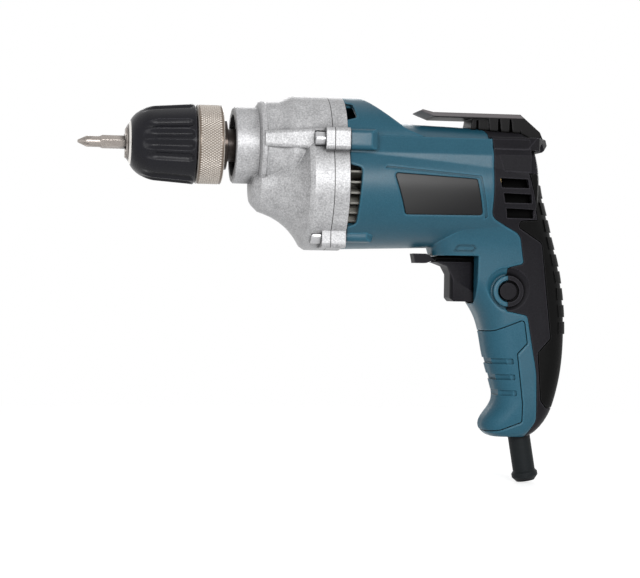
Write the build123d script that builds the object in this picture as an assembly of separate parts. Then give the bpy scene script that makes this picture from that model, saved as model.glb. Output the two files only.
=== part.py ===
"""Corded pistol-grip drill with a keyless chuck, as an assembly of separate pieces.

X runs along the spindle with the front of the tool towards -X, Z is up, and the tool's left side
faces -Y. The origin is on the spindle axis, in the front face of the clamping collar. Millimetres.
"""

import os
from math import acos, atan2, cos, degrees, pi, radians, sin, sqrt, tan

from build123d import *

# Clearances
running_gap = 0.05
moving_gap = 0.4
seat_gap = 0.1

# Bit
bit_across_flats = 6.35
bit_length = 50.0
bit_tip_length = 4.8
bit_tip_radius = 0.7
bit_neck_radius = 3.0
bit_neck_length = 7.0
bit_flute_radius = 1.5
bit_reach = 25.8
bit_turn = 45.0

# Chuck
nose_x = -58.0
nose_face_radius = 8.2
nose_radius = 11.9
nose_length = 2.5
chuck_bore_radius = 6.6
chuck_core_radius = 13.6
chuck_ring_front = -20.3
chuck_ring_back = -6.2
chuck_ring_radius = 21.6
chuck_back_x = -3.6
jaw_count = 3
jaw_radius = 3.6
jaw_lean = 13.0
jaw_axis_at_nose = 5.2
jaw_length = 22.0
jaw_edge_half = 0.7
jaw_nose_stand = 0.6
jaw_travel = 13.0
nut_front = -41.0
nut_length = 8.0
nut_outer_radius = 17.4
sleeve_front = -55.5
sleeve_flute_groups = 4
sleeve_flutes = 4
sleeve_flute_step = 15.0
sleeve_flute_radius = 2.3
sleeve_flute_depth = 1.0
sleeve_flute_margin = 3.4

# Spindle
thread_radius = 6.35
thread_length = 18.0
spindle_shoulder_radius = 9.0
front_journal_radius = 7.5
spindle_mid_radius = 8.0
gear_seat_radius = 7.0
rear_journal_radius = 5.0
front_bearing_radius = 16.0
front_bearing_x = 4.5
front_bearing_width = 9.0
chuck_screw_head_radius = 4.8
chuck_screw_radius = 3.0
chuck_screw_head_height = 4.0
chuck_screw_length = 16.0

# Gear train
motor_drop = 20.2
pressure_angle = 25.0
tooth_thinning = 0.1
tooth_root_depth = 1.25
stage_1_module = 0.8
motor_pinion_teeth = 7
first_gear_teeth = 33
stage_1_shift = 0.5
motor_pinion_tip_trim = 0.35
stage_2_module = 1.25
second_pinion_teeth = 10
spindle_gear_teeth = 32
stage_2_shift = 0.3
second_pinion_tip_trim = 0.15
spindle_gear_front = 35.5
spindle_gear_width = 7.0
second_pinion_front = 34.5
first_gear_front = 44.0
first_gear_width = 6.5
countershaft_radius = 2.5
countershaft_front = 28.0
bush_radius = 4.5
bush_length = 6.0

# Gear case and plate
collar_radius = 20.85
collar_bore_radius = 16.9
collar_length = 12.5
rim_radius = 24.6
hood_radius = 27.6
hood_rise_start = 25.0
hood_rise_end = 32.5
boss_front = 10.0
boss_face_radius = 11.0
flange_front = 40.8
flange_radius = 36.4
plate_front = 51.2
plate_back = 59.5
ear_half = 6.2
ear_round = 2.6
upper_ear_y = 29.5
upper_ear_z = 2.4
lower_ear_y = 19.0
lower_ear_z = -49.4
ear_pad_length = 15.5
upper_pad_half = 5.6
lower_pad_half = 3.6
lower_pad_rise = 0.8
ridge_start_x = 15.0
ridge_start_y = 25.6
ridge_start_half = 4.3
ridge_end_y = 30.6
ridge_end_half = 6.2
ridge_round = 2.2
collar_lugs = 6
collar_lug_depth = 3.0
screw_scoop_length = 2.2
case_screw_radius = 2.1
case_screw_head_radius = 4.0
case_screw_head_height = 3.2
case_screw_head_front = 43.2
case_screw_length = 24.0
driver_width = 1.2
driver_span = 4.8
driver_depth = 1.2

# Motor housing and handle cover
barrel_front_radius = 35.6
barrel_split_radius = 33.1
barrel_back_radius = 32.2
barrel_back_x = 166.5
barrel_back_round = 7.0
barrel_wall = 3.0
hood_flat_end = 69.3
hood_slope_end = 92.0
hood_slope_low = 9.4
hood_fade_end = 104.0
hood_fade_low = 4.7
split_x = 139.3
facet_top_y = 27.5
facet_top_z = 5.3
facet_low_y = 31.6
facet_low_z = -3.9
slab_root = 9.0
band_bottom = -0.6
band_top = 6.6
band_low_y = 30.6
band_top_y = 26.4
band_end_x = 175.0
band_corner_y = 25.5
panel_y = 31.5
groove_width = 1.2
groove_depth = 0.4
seam_gap = 0.25
skin_gap = 0.5
handle_wall = 2.8
skin_depth = 1.9
pocket_front_x = 134.8
pocket_top = -58.4
pocket_bottom = -84.2
pocket_wall = 2.6
field_rib_width = 4.0
field_rib_end = 33.4
switch_rib_x = 164.0
inner_rib = 2.0
tunnel_y = 20.5
tunnel_z = 0.0
tunnel_radius = 4.6
tunnel_front = 124.0
cover_screw_radius = 2.0
cover_screw_head_radius = 3.6
cover_screw_head_height = 2.6
cover_screw_length = 22.0
barrel_screw_head_x = 152.0
foot_screw_z = -128.0
foot_screw_head_x = 177.0
vent_back = 66.4
vent_top = -10.2
vent_bottom = -45.0
slot_count = 3
slot_pitch = 8.1
slot_height = 5.2
slot_top = -16.2
slot_front = 142.6
slot_length = 16.0
slot_stagger = 2.2
grip_rib_pitch = 9.4
grip_rib_count = 9
grip_rib_top = -19.0
grip_rib_rise = 0.8
grip_rib_height = 6.8
grip_rib_reach = 5.0
pad_rib_count = 3
pad_rib_pitch = 8.8
pad_rib_top = -114.8
pad_rib_height = 3.2
pad_rib_depth = 1.4
pad_rib_front = 130.0
pad_rib_end = 156.0
pad_rib_step = 1.15
side_plate_recess = 0.9
side_plate_stand = 0.2

# Motor
bearing_608_radius = 11.0
bearing_608_width = 7.0
bearing_607_radius = 9.5
bearing_607_width = 6.0
motor_shaft_radius = 4.0
motor_tail_radius = 3.5
motor_bearing_front = 53.5
fan_front = 60.8
fan_hub_front = 62.6
fan_back = 70.4
fan_radius = 29.6
fan_blades = 32
fan_hub_radius = 8.0
fan_blade_root = 16.0
fan_blade_half = 0.55
baffle_front = 72.6
baffle_thickness = 2.0
core_front = 86.0
core_length = 36.0
field_radius = 29.2
field_bore = 17.9
air_gap = 0.8
winding_overhang = 7.0
commutator_front = 131.5
commutator_length = 14.0
commutator_radius = 11.5
tail_bearing_front = 152.5
brush_width = 6.5
brush_height = 8.0
brush_wall = 1.0

# Controls
trigger_front = 121.6
trigger_top = -62.4
trigger_half_width = 8.2
trigger_travel = 6.5
trigger_bottom = -83.7
trigger_back = 143.0
trigger_lip_x = 113.0
trigger_round = 2.0
plunger_length = 13.0
lever_pivot_x = 154.5
lever_pin_radius = 1.9
lever_arm_half = 2.4
lever_arm_thickness = 2.0
lever_tip_x = 101.3
lever_tab_length = 9.5
lever_tab_half = 4.6
lever_tab_top = -57.4
lever_tab_bottom = -62.6
switch_front = 150.6
switch_back = 171.0
switch_half_width = 8.0
switch_top = -63.0
switch_bottom = -99.0
plunger_radius = 2.4
lock_x = 151.9
lock_z = -77.6
lock_cap_radius = 4.8
lock_well_radius = 6.1
lock_ring_radius = 8.5
lock_ring_y = -19.8
lock_ring_stand = 1.5
lock_dish_radius = 13.0
lock_dish_depth = 1.7
lock_face_y = -19.2
lock_boss_back_y = -13.6
lock_flange_radius = 5.9
lock_stem_radius = 2.0

# Belt hook
hook_half_width = 11.0
hook_top = 20.6
hook_thickness = 2.7
hook_tip_x = 103.0
hook_knee_x = 110.0
hook_tip_rise = 1.4
hook_tail_x = 159.6
hook_drop_x = 171.0
hook_drop_z = 11.0
hook_end_x = 174.2
hook_end_z = 3.6
hook_foot_x = 141.4
hook_pillars = 3
hook_pillar_pitch = 6.5
hook_pillar_top = 5.6
hook_pillar_bottom = 2.6
hook_recess = 4.0
hook_screw_x = 153.0
hook_screw_radius = 2.0
hook_screw_head_radius = 3.6
hook_screw_head_height = 2.2
hook_screw_length = 11.6

# Capacitor
capacitor_back = 176.0
capacitor_length = 15.0
capacitor_half_width = 5.5
capacitor_top = -103.0
capacitor_height = 16.0

# Cord entry
boot_x = 164.4
boot_tilt = 9.5
boot_radius = 6.2
boot_lip_radius = 7.3
boot_bore_radius = 3.8
boot_inner_bore_radius = 4.6
boot_bore_start = 5.0
boot_length = 26.0
boot_exit_z = -158.0
boot_inner = 9.5
boot_flange_radius = 8.4
boot_flange_thickness = 2.5
clamp_front = 160.0
clamp_thickness = 4.0
clamp_half_width = 11.0
clamp_top = -139.0
clamp_height = 7.0
clamp_screw_y = 8.0
clamp_screw_radius = 1.5
clamp_screw_head_radius = 2.8
clamp_screw_head_height = 2.0
clamp_screw_length = 11.0
clamp_post_front = 149.0

motor_z = -motor_drop


def rod(x_from, x_to, radius, y=0.0, z=0.0):
    """A round bar along X."""
    bar = Cylinder(radius, x_to - x_from, align=(Align.CENTER, Align.CENTER, Align.MIN))
    return Pos(x_from, y, z) * Rot(0, 90, 0) * bar


def sleeve(x_from, x_to, outer, inner, y=0.0, z=0.0):
    """A plain tube along X."""
    return rod(x_from, x_to, outer, y, z) - rod(x_from - 1, x_to + 1, inner, y, z)


def block(x_from, x_to, y_from, y_to, z_from, z_to):
    """A box between two corners."""
    box = Box(x_to - x_from, y_to - y_from, z_to - z_from, align=Align.MIN)
    return Pos(x_from, y_from, z_from) * box


def turned(edges, y=0.0, z=0.0):
    """A solid of revolution about a line along X, from edges drawn in (x, radius)."""
    face = Plane.XZ * make_face(edges)
    return Pos(0, y, z) * revolve(face, Axis.X)


def turned_points(*points, y=0.0, z=0.0):
    """A solid of revolution from straight (x, radius) steps."""
    return turned(Polyline(*points, close=True).edges(), y, z)


def soft_edges(points, radius=0.0):
    """Edges of a closed outline; a corner takes its own third number, or the common radius, as its round."""
    corners = [(*point, radius)[:3] for point in points]
    spots = [Vector(x, y) for x, y, _ in corners]
    starts = []
    middles = []
    ends = []
    for k, here in enumerate(spots):
        back = (spots[k - 1] - here).normalized()
        ahead = (spots[(k + 1) % len(spots)] - here).normalized()
        half = acos(max(-1, back.dot(ahead))) / 2
        reach = corners[k][2] / tan(half)
        starts.append(here + back * reach)
        ends.append(here + ahead * reach)
        middles.append(here + (back + ahead) * (corners[k][2] * (1 / sin(half) - 1) / (2 * cos(half))))
    edges = []
    for k, (_, _, corner) in enumerate(corners):
        if corner:
            edges.append(ThreePointArc(starts[k], middles[k], ends[k]))
        edges.append(Line(ends[k], starts[(k + 1) % len(corners)]))
    return edges


def side_polygon(points, y_from, y_to, radius=0.0, grow=0.0):
    """A side-view polygon with rounded corners, carried across the tool."""
    face = make_face(soft_edges(points, radius))
    if grow:
        face = offset(face, grow, kind=Kind.INTERSECTION)
    return Pos(0, y_to, 0) * extrude(Plane.XZ * face, y_to - y_from)


def end_prism(points, x_from, x_to, radius=0.0):
    """An outline drawn in the end view (y, z), carried along the tool."""
    face = Plane.YZ * make_face(soft_edges(points, radius))
    return Pos(x_from, 0, 0) * extrude(face, x_to - x_from)


def plan_polygon(points, z_from, z_to):
    """A polygon drawn from above (x, y), carried upwards."""
    return Pos(0, 0, z_from) * extrude(make_face(soft_edges(points)), z_to - z_from)


def both_sides(shape):
    """A piece and its mirror image on the tool's other side."""
    return shape + mirror(shape, Plane.XZ)


def around_spindle(shape, count):
    """Copies of a shape, evenly spaced about the spindle axis."""
    return [Rot(360 / count * k, 0, 0) * shape for k in range(count)]


def driver_cross():
    """The cross recess of a screw head, about the middle of its face."""
    bar = Box(driver_span, driver_width, 2 * driver_depth)
    return bar + Rot(0, 0, 90) * bar


# Gear teeth
def involute(angle):
    return tan(angle) - angle


def gear(teeth, module, shift, x_from, x_to, facing, tooth_faces, tip_trim=0.0, y=0.0, z=0.0):
    """A spur gear with involute flanks. facing is the direction of its mate, in degrees from +Y towards +Z;
    tooth_faces says whether a tooth or a gap points that way."""
    slope = radians(pressure_angle)
    pitch_radius = module * teeth / 2
    base_radius = pitch_radius * cos(slope)
    tip_radius = pitch_radius + module * (1 + shift - tip_trim)
    root_radius = pitch_radius - module * (tooth_root_depth - shift)
    thickness = module * (pi / 2 + 2 * shift * tan(slope)) - tooth_thinning

    def half_angle(radius):
        return thickness / (2 * pitch_radius) + involute(slope) - involute(acos(min(1, base_radius / radius)))

    start_radius = max(base_radius, root_radius)
    flank = [start_radius + (tip_radius - start_radius) * step / 3 for step in range(4)]
    points = []
    for tooth in range(teeth):
        middle = radians(facing) + 2 * pi / teeth * (tooth + (0 if tooth_faces else 0.5))
        rising = [(r, middle - half_angle(r)) for r in flank]
        falling = [(r, middle + half_angle(r)) for r in reversed(flank)]
        foot = [(root_radius, rising[0][1])] if root_radius < base_radius else []
        toe = [(root_radius, falling[-1][1])] if root_radius < base_radius else []
        for radius, angle in foot + rising + falling + toe:
            points.append((radius * cos(angle), radius * sin(angle)))
    face = Plane.YZ * make_face(Polyline(*points, close=True).edges())
    return Pos(x_from, y, z) * extrude(face, x_to - x_from)


# The countershaft stands beside the motor axis, at both stages' centre distances
stage_1_distance = stage_1_module * (motor_pinion_teeth + first_gear_teeth) / 2
stage_2_distance = stage_2_module * (second_pinion_teeth + spindle_gear_teeth) / 2
counter_z = -(stage_2_distance**2 - stage_1_distance**2 + motor_drop**2) / (2 * motor_drop)
counter_y = sqrt(stage_2_distance**2 - counter_z**2)
towards_counter = degrees(atan2(counter_z, counter_y))
motor_to_counter = degrees(atan2(counter_z - motor_z, counter_y))

first_gear_back = first_gear_front + first_gear_width
spindle_gear_back = spindle_gear_front + spindle_gear_width
spindle_gear_tip = stage_2_module * (spindle_gear_teeth / 2 + 1 - stage_2_shift)
first_gear_tip = stage_1_module * (first_gear_teeth / 2 + 1 - stage_1_shift)
second_pinion_tip = stage_2_module * (second_pinion_teeth / 2 + 1 + stage_2_shift)
motor_pinion_tip = stage_1_module * (motor_pinion_teeth / 2 + 1 + stage_1_shift)

nodes = {}

# Bit: hexagon shank, turned neck and a cross point with four flutes
hex_radius = bit_across_flats / sqrt(3)
bit_tip_x = nose_x - bit_reach
bit_back_x = bit_tip_x + bit_length
bit_hex_front = bit_tip_x + bit_tip_length + bit_neck_length
hexagon = Plane.YZ * RegularPolygon(hex_radius, 6, rotation=bit_turn)
shank = Pos(bit_hex_front, 0, 0) * extrude(hexagon, bit_back_x - bit_hex_front)
shank &= turned_points(
    (bit_hex_front, 0),
    (bit_hex_front, bit_neck_radius),
    (bit_hex_front + 1.8, hex_radius + 0.1),
    (bit_back_x - 0.6, hex_radius + 0.1),
    (bit_back_x, hex_radius - 0.6),
    (bit_back_x, 0),
)
point = turned_points(
    (bit_tip_x, 0),
    (bit_tip_x, bit_tip_radius),
    (bit_tip_x + bit_tip_length, bit_neck_radius),
    (bit_hex_front, bit_neck_radius),
    (bit_hex_front, 0),
)
flute_lean = degrees(atan2(bit_neck_radius - bit_tip_radius, bit_tip_length + 3.5))
for turn in range(4):
    flute = Cylinder(bit_flute_radius, 14, align=(Align.CENTER, Align.CENTER, Align.MIN))
    flute = Pos(bit_tip_x - 1, 0, bit_tip_radius + bit_flute_radius - 0.2) * Rot(0, 90 - flute_lean, 0) * flute
    point -= Rot(90 * turn + 45, 0, 0) * flute
nodes["screwdriver_bit"] = shank + point

# Jaws: leaning round bars with a gripping edge that rests on the bit
jaw_angles = [bit_turn + 360 / jaw_count * k for k in range(jaw_count)]
jaw_grip = bit_across_flats / 2 + running_gap
lean = radians(jaw_lean)


def jaw_bar(radius, before, length):
    """The jaw's own round bar, or the bore for it, leaning away from the spindle axis."""
    bar = Cylinder(radius, length + before, align=(Align.CENTER, Align.CENTER, Align.MIN))
    return Pos(nose_x, 0, jaw_axis_at_nose) * Rot(0, 90 - jaw_lean, 0) * Pos(0, 0, -before) * bar


wedge_rise = 14.0
wedge = Plane.YZ * Polygon(
    (-jaw_edge_half, jaw_grip),
    (jaw_edge_half, jaw_grip),
    (jaw_edge_half + wedge_rise * tan(radians(60)), jaw_grip + wedge_rise),
    (-jaw_edge_half - wedge_rise * tan(radians(60)), jaw_grip + wedge_rise),
    align=None,
)
jaw = jaw_bar(jaw_radius, 4, jaw_length) & (Pos(nose_x - jaw_nose_stand, 0, 0) * extrude(wedge, 40))
for number, angle in enumerate(jaw_angles, 1):
    nodes[f"chuck_jaw_{number}"] = Rot(angle, 0, 0) * jaw

# Chuck body: nose, core with three leaning bores, a groove for the nut, and a threaded back
nut_back = nut_front + nut_length
groove_radius = jaw_axis_at_nose + (nut_front - nose_x) * tan(lean) + jaw_radius / cos(lean) - 0.8
chuck_core_back = chuck_ring_front + 0.1
chuck_body = turned_points(
    (nose_x, 0),
    (nose_x, nose_face_radius),
    (nose_x + nose_length, nose_radius),
    (sleeve_front + 4.0, nose_radius),
    (sleeve_front + 4.0, chuck_core_radius),
    (nut_front - moving_gap, chuck_core_radius),
    (nut_front - moving_gap, groove_radius),
    (nut_back + moving_gap, groove_radius),
    (nut_back + moving_gap, chuck_core_radius),
    (chuck_back_x, chuck_core_radius),
    (chuck_back_x, 0),
)
thread_front = chuck_back_x - thread_length
chuck_body -= rod(nose_x - 1, thread_front - 2, chuck_bore_radius)
chuck_body -= rod(thread_front - 3, chuck_back_x + 1, thread_radius)
jaw_bore_length = (nose_length + jaw_length + jaw_travel) / cos(lean)
for angle in jaw_angles:
    chuck_body -= Rot(angle, 0, 0) * jaw_bar(jaw_radius + moving_gap / 2, 6, jaw_bore_length)
nodes["chuck_body"] = chuck_body

# Chuck ring: the ring behind the sleeve, pressed on the body
nodes["chuck_ring"] = turned_points(
    (chuck_ring_front, chuck_core_radius),
    (chuck_ring_front, chuck_ring_radius - 0.7),
    (chuck_ring_front + 0.7, chuck_ring_radius),
    (chuck_ring_back - 0.5, chuck_ring_radius),
    (chuck_ring_back, chuck_ring_radius - 0.5),
    (chuck_ring_back, chuck_core_radius),
)

# Chuck nut: ring with a tapered thread that drives the jaws, fast in the sleeve


def jaw_outer(x):
    """Largest radius of the jaw bars at x."""
    return jaw_axis_at_nose + (x - nose_x) * tan(lean) + jaw_radius / cos(lean)


nodes["chuck_nut"] = turned_points(
    (nut_front, jaw_outer(nut_front) + moving_gap),
    (nut_front, nut_outer_radius),
    (nut_back, nut_outer_radius),
    (nut_back, jaw_outer(nut_back) + moving_gap),
)

# Chuck sleeve: moulded gripping sleeve with long flutes, running on the nose and the core
sleeve_back = chuck_ring_front - 0.6
sleeve_front_radius = 12.2
sleeve_back_radius = 21.9
sleeve_cavity_radius = nut_outer_radius + 0.9
sleeve_outside = [
    Line((sleeve_front, nose_radius + running_gap), (sleeve_front, sleeve_front_radius)),
    Spline(
        (sleeve_front, sleeve_front_radius),
        (sleeve_front + 6.2, 17.8),
        (sleeve_front + 13, 20.3),
        tangents=((0.45, 1), (1, 0.12)),
    ),
    Line((sleeve_front + 13, 20.3), (sleeve_back - 0.6, sleeve_back_radius)),
    Line((sleeve_back - 0.6, sleeve_back_radius), (sleeve_back, sleeve_back_radius - 0.6)),
    Polyline(
        (sleeve_back, sleeve_back_radius - 0.6),
        (sleeve_back, chuck_core_radius + moving_gap),
        (sleeve_back - 1.5, chuck_core_radius + moving_gap),
        (sleeve_back - 1.5, sleeve_cavity_radius),
        (nut_back, sleeve_cavity_radius),
        (nut_back, nut_outer_radius),
        (nut_front, nut_outer_radius),
        (nut_front - 4.0, chuck_core_radius + moving_gap),
        (sleeve_front + 3.6, chuck_core_radius + moving_gap),
        (sleeve_front + 3.6, nose_radius + running_gap),
        (sleeve_front, nose_radius + running_gap),
    ),
]
chuck_sleeve = turned(sum((part.edges() for part in sleeve_outside), ShapeList()))
flute_front = sleeve_front + 11.0
flute_back = sleeve_back - sleeve_flute_margin
flute_axis = sleeve_back_radius - 0.8 + sleeve_flute_radius - sleeve_flute_depth
flute = rod(flute_front, flute_back, sleeve_flute_radius, z=flute_axis)
flute += Pos(flute_front, 0, flute_axis) * Sphere(sleeve_flute_radius)
flute += Pos(flute_back, 0, flute_axis) * Sphere(sleeve_flute_radius)
flutes = []
for k in range(sleeve_flutes):
    turned_flute = Rot(sleeve_flute_step * (k - (sleeve_flutes - 1) / 2), 0, 0) * flute
    flutes += around_spindle(turned_flute, sleeve_flute_groups)
chuck_sleeve -= flutes
nodes["chuck_sleeve"] = chuck_sleeve

# Chuck screw: left-hand screw that holds the chuck on the spindle
screw_seat_x = thread_front - 2
nodes["chuck_screw"] = rod(screw_seat_x - chuck_screw_head_height, screw_seat_x, chuck_screw_head_radius) + rod(
    screw_seat_x, screw_seat_x + chuck_screw_length, chuck_screw_radius
)

# Spindle: threaded nose, bearing journals and gear seat
front_bearing_back = front_bearing_x + front_bearing_width
spindle = turned_points(
    (thread_front, 0),
    (thread_front, thread_radius - running_gap),
    (chuck_back_x, thread_radius - running_gap),
    (chuck_back_x, spindle_shoulder_radius),
    (front_bearing_x, spindle_shoulder_radius),
    (front_bearing_x, front_journal_radius),
    (front_bearing_back, front_journal_radius),
    (front_bearing_back, spindle_mid_radius + 1),
    (front_bearing_back + 2, spindle_mid_radius + 1),
    (front_bearing_back + 2, spindle_mid_radius),
    (spindle_gear_front, spindle_mid_radius),
    (spindle_gear_front, gear_seat_radius),
    (spindle_gear_back, gear_seat_radius),
    (spindle_gear_back, rear_journal_radius + 0.8),
    (plate_front + 0.6, rear_journal_radius + 0.8),
    (plate_front + 0.6, rear_journal_radius),
    (plate_back - 1.6, rear_journal_radius),
    (plate_back - 1.6, 0),
)
spindle -= rod(thread_front - 1, screw_seat_x + chuck_screw_length + 2, chuck_screw_radius)
nodes["spindle"] = spindle

spindle_gear = gear(
    spindle_gear_teeth,
    stage_2_module,
    -stage_2_shift,
    spindle_gear_front,
    spindle_gear_back,
    towards_counter,
    False,
)
nodes["spindle_gear"] = spindle_gear - rod(spindle_gear_front - 1, spindle_gear_back + 1, gear_seat_radius)

nodes["spindle_front_bearing"] = sleeve(
    front_bearing_x + running_gap,
    front_bearing_back - running_gap,
    front_bearing_radius,
    front_journal_radius + running_gap,
)
rear_bush_radius = rear_journal_radius + 2.0
nodes["spindle_rear_bearing"] = sleeve(
    plate_front + 0.8,
    plate_back - 1.4,
    rear_bush_radius,
    rear_journal_radius + running_gap,
)

# Countershaft with its pinion, its gear and two bushes
countershaft_back = plate_back - 1.6
first_gear_seat = countershaft_radius + 1.0
countershaft = rod(countershaft_front, countershaft_back, countershaft_radius, counter_y, counter_z)
countershaft += gear(
    second_pinion_teeth,
    stage_2_module,
    stage_2_shift,
    second_pinion_front,
    first_gear_front - 0.4,
    towards_counter + 180,
    True,
    second_pinion_tip_trim,
    counter_y,
    counter_z,
)
countershaft += rod(first_gear_front - 0.4, first_gear_back, first_gear_seat, counter_y, counter_z)
nodes["countershaft"] = countershaft
first_gear = gear(
    first_gear_teeth,
    stage_1_module,
    -stage_1_shift,
    first_gear_front,
    first_gear_back,
    motor_to_counter + 180,
    False,
    y=counter_y,
    z=counter_z,
)
nodes["countershaft_gear"] = first_gear - rod(
    first_gear_front - 1, first_gear_back + 1, first_gear_seat, counter_y, counter_z
)
front_bush_front = countershaft_front
nodes["countershaft_front_bearing"] = sleeve(
    front_bush_front, front_bush_front + bush_length, bush_radius, countershaft_radius + running_gap, counter_y, counter_z
)
rear_bush_front = plate_front + 0.8
nodes["countershaft_rear_bearing"] = sleeve(
    rear_bush_front, rear_bush_front + bush_length, bush_radius, countershaft_radius + running_gap, counter_y, counter_z
)

# Gear case: a collar and hood about the spindle, a flared bowl about the motor axis, and four screw ears
hood = turned(
    Polyline(
        (0, 0),
        (0, collar_radius - 0.8),
        (0.8, collar_radius),
        (collar_length, collar_radius),
        (collar_length + 0.6, collar_radius + 1.6),
        (collar_length + 1.5, rim_radius - 0.6),
        (collar_length + 2.6, rim_radius),
        (collar_length + 3.8, rim_radius),
        (collar_length + 4.6, rim_radius - 0.6),
        (hood_rise_start, rim_radius - 0.3),
        (hood_rise_start + 2.5, rim_radius + 0.8),
        (hood_rise_end - 2.0, hood_radius - 0.6),
        (hood_rise_end, hood_radius),
        (plate_front, hood_radius),
        (plate_front, 0),
        close=True,
    ).edges()
)
bowl_neck_radius = 16.0
bowl_neck_x = 14.5
bowl_start = (bowl_neck_x, bowl_neck_radius)
bowl_end = (flange_front - 2.4, flange_radius - 1.6)
bowl_outline = [
    Polyline(
        (boss_front, 0),
        (boss_front, boss_face_radius),
        (boss_front + 1.0, boss_face_radius + 1.6),
        bowl_start,
    ),
    Spline(bowl_start, (27.2, 21.9), bowl_end, tangents=((1, 0.28), (0.55, 1))),
    Polyline(bowl_end, (flange_front, flange_radius), (plate_front, flange_radius), (plate_front, 0), (boss_front, 0)),
]


def ear_section(y, z, half):
    """End view of a screw ear at (y, z): a block with soft outer corners, rooted in the casting."""
    root = y - 2.2 * half
    return [(root, z - half, 0), (y + half, z - half, ear_round), (y + half, z + half, ear_round), (root, z + half, 0)]


def ear(x_from, x_to, y, z, half):
    """A screw ear along X."""
    return end_prism(ear_section(y, z, half), x_from, x_to)


ear_places = [(upper_ear_y, upper_ear_z), (lower_ear_y, lower_ear_z)]
bowl = turned(sum((part.edges() for part in bowl_outline), ShapeList()), z=motor_z)
gear_case = hood + bowl
case_screw_head_back = case_screw_head_front + case_screw_head_height
case_screw_end = case_screw_head_back + case_screw_length
ridge_root = 10.0


def ridge_face(x, outer_y, half):
    """A section of the ridge that runs forward from the upper ear."""
    corners = [
        (ridge_root, upper_ear_z - half, 0),
        (outer_y, upper_ear_z - half, ridge_round),
        (outer_y, upper_ear_z + half, ridge_round),
        (ridge_root, upper_ear_z + half, 0),
    ]
    return Pos(x, 0, 0) * (Plane.YZ * make_face(soft_edges(corners)))


ridge = loft(
    [
        ridge_face(ridge_start_x, ridge_start_y, ridge_start_half),
        ridge_face(case_screw_head_back, ridge_end_y, ridge_end_half),
    ],
    ruled=True,
)
gear_case += [ridge, mirror(ridge, Plane.XZ)]
for ear_y, ear_z in ear_places:
    case_ear = ear(case_screw_head_back, plate_front, ear_y, ear_z, ear_half)
    gear_case += [case_ear, mirror(case_ear, Plane.XZ)]
pinion_room = 1.2
gear_room_radius = 29.6
gear_case -= [
    rod(spindle_gear_front - 2.0, plate_front + 1, spindle_gear_tip + pinion_room),
    rod(first_gear_front - 1.2, plate_front + 1, gear_room_radius, z=motor_z),
    rod(first_gear_front - 1.2, plate_front + 1, first_gear_tip + pinion_room, counter_y, counter_z),
    rod(second_pinion_front - 0.4, plate_front + 1, second_pinion_tip + pinion_room, counter_y, counter_z),
]
gear_case -= rod(-1, front_bearing_x, collar_bore_radius)
gear_case -= rod(front_bearing_x - 1, front_bearing_back, front_bearing_radius + seat_gap / 2)
gear_case -= rod(front_bearing_back - 1, spindle_gear_front, spindle_mid_radius + 4.0)
gear_case -= rod(front_bush_front - 0.4, second_pinion_front, bush_radius, counter_y, counter_z)
for ear_y, ear_z in ear_places:
    for side in (-1, 1):
        gear_case -= rod(case_screw_head_front, plate_front + 1, case_screw_radius + seat_gap, side * ear_y, ear_z)
        gear_case -= rod(
            case_screw_head_front - screw_scoop_length,
            case_screw_head_back,
            case_screw_head_radius + moving_gap,
            side * ear_y,
            ear_z,
        )
lug = block(1.2, front_bearing_x, -0.8, 0.8, collar_bore_radius - collar_lug_depth, collar_bore_radius + 0.5)
gear_case += around_spindle(lug, collar_lugs)
nodes["gear_case"] = gear_case

# Gear case plate: closes the case and carries the rear bearings
plate_outline = rod(plate_front, plate_back, hood_radius) + rod(plate_front, plate_back, flange_radius, z=motor_z)
for ear_y, ear_z in ear_places:
    plate_outline += both_sides(ear(plate_front, plate_back, ear_y, ear_z, ear_half))
motor_bearing_back = motor_bearing_front + bearing_608_width
bearing_hub_back = motor_bearing_back + 1.0
gear_case_plate = plate_outline + rod(plate_front, bearing_hub_back, bearing_608_radius + 3.0, z=motor_z)
gear_case_plate -= rod(motor_bearing_front, bearing_hub_back + 1, bearing_608_radius + seat_gap / 2, z=motor_z)
gear_case_plate -= rod(plate_front - 1, motor_bearing_front + 1, motor_shaft_radius + 2.5, z=motor_z)
gear_case_plate -= rod(plate_front - 1, plate_back - 1.2, rear_bush_radius)
gear_case_plate -= rod(plate_front - 1, plate_back - 1.2, bush_radius, counter_y, counter_z)
for ear_y, ear_z in ear_places:
    for side in (-1, 1):
        gear_case_plate -= rod(
            plate_front - 1, plate_back + 1, case_screw_radius + seat_gap, side * ear_y, ear_z
        )
nodes["gear_case_plate"] = gear_case_plate

# Gear case screws: four pan-head screws from the front
case_screws = []
for ear_y, ear_z in ear_places:
    for side in (-1, 1):
        screw = rod(case_screw_head_front, case_screw_head_back, case_screw_head_radius, side * ear_y, ear_z)
        screw += rod(case_screw_head_back, case_screw_end, case_screw_radius, side * ear_y, ear_z)
        case_screws.append(screw - Pos(case_screw_head_front, side * ear_y, ear_z) * Rot(0, 90, 0) * driver_cross())
nodes["gear_case_screws"] = Compound(children=case_screws)

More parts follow.
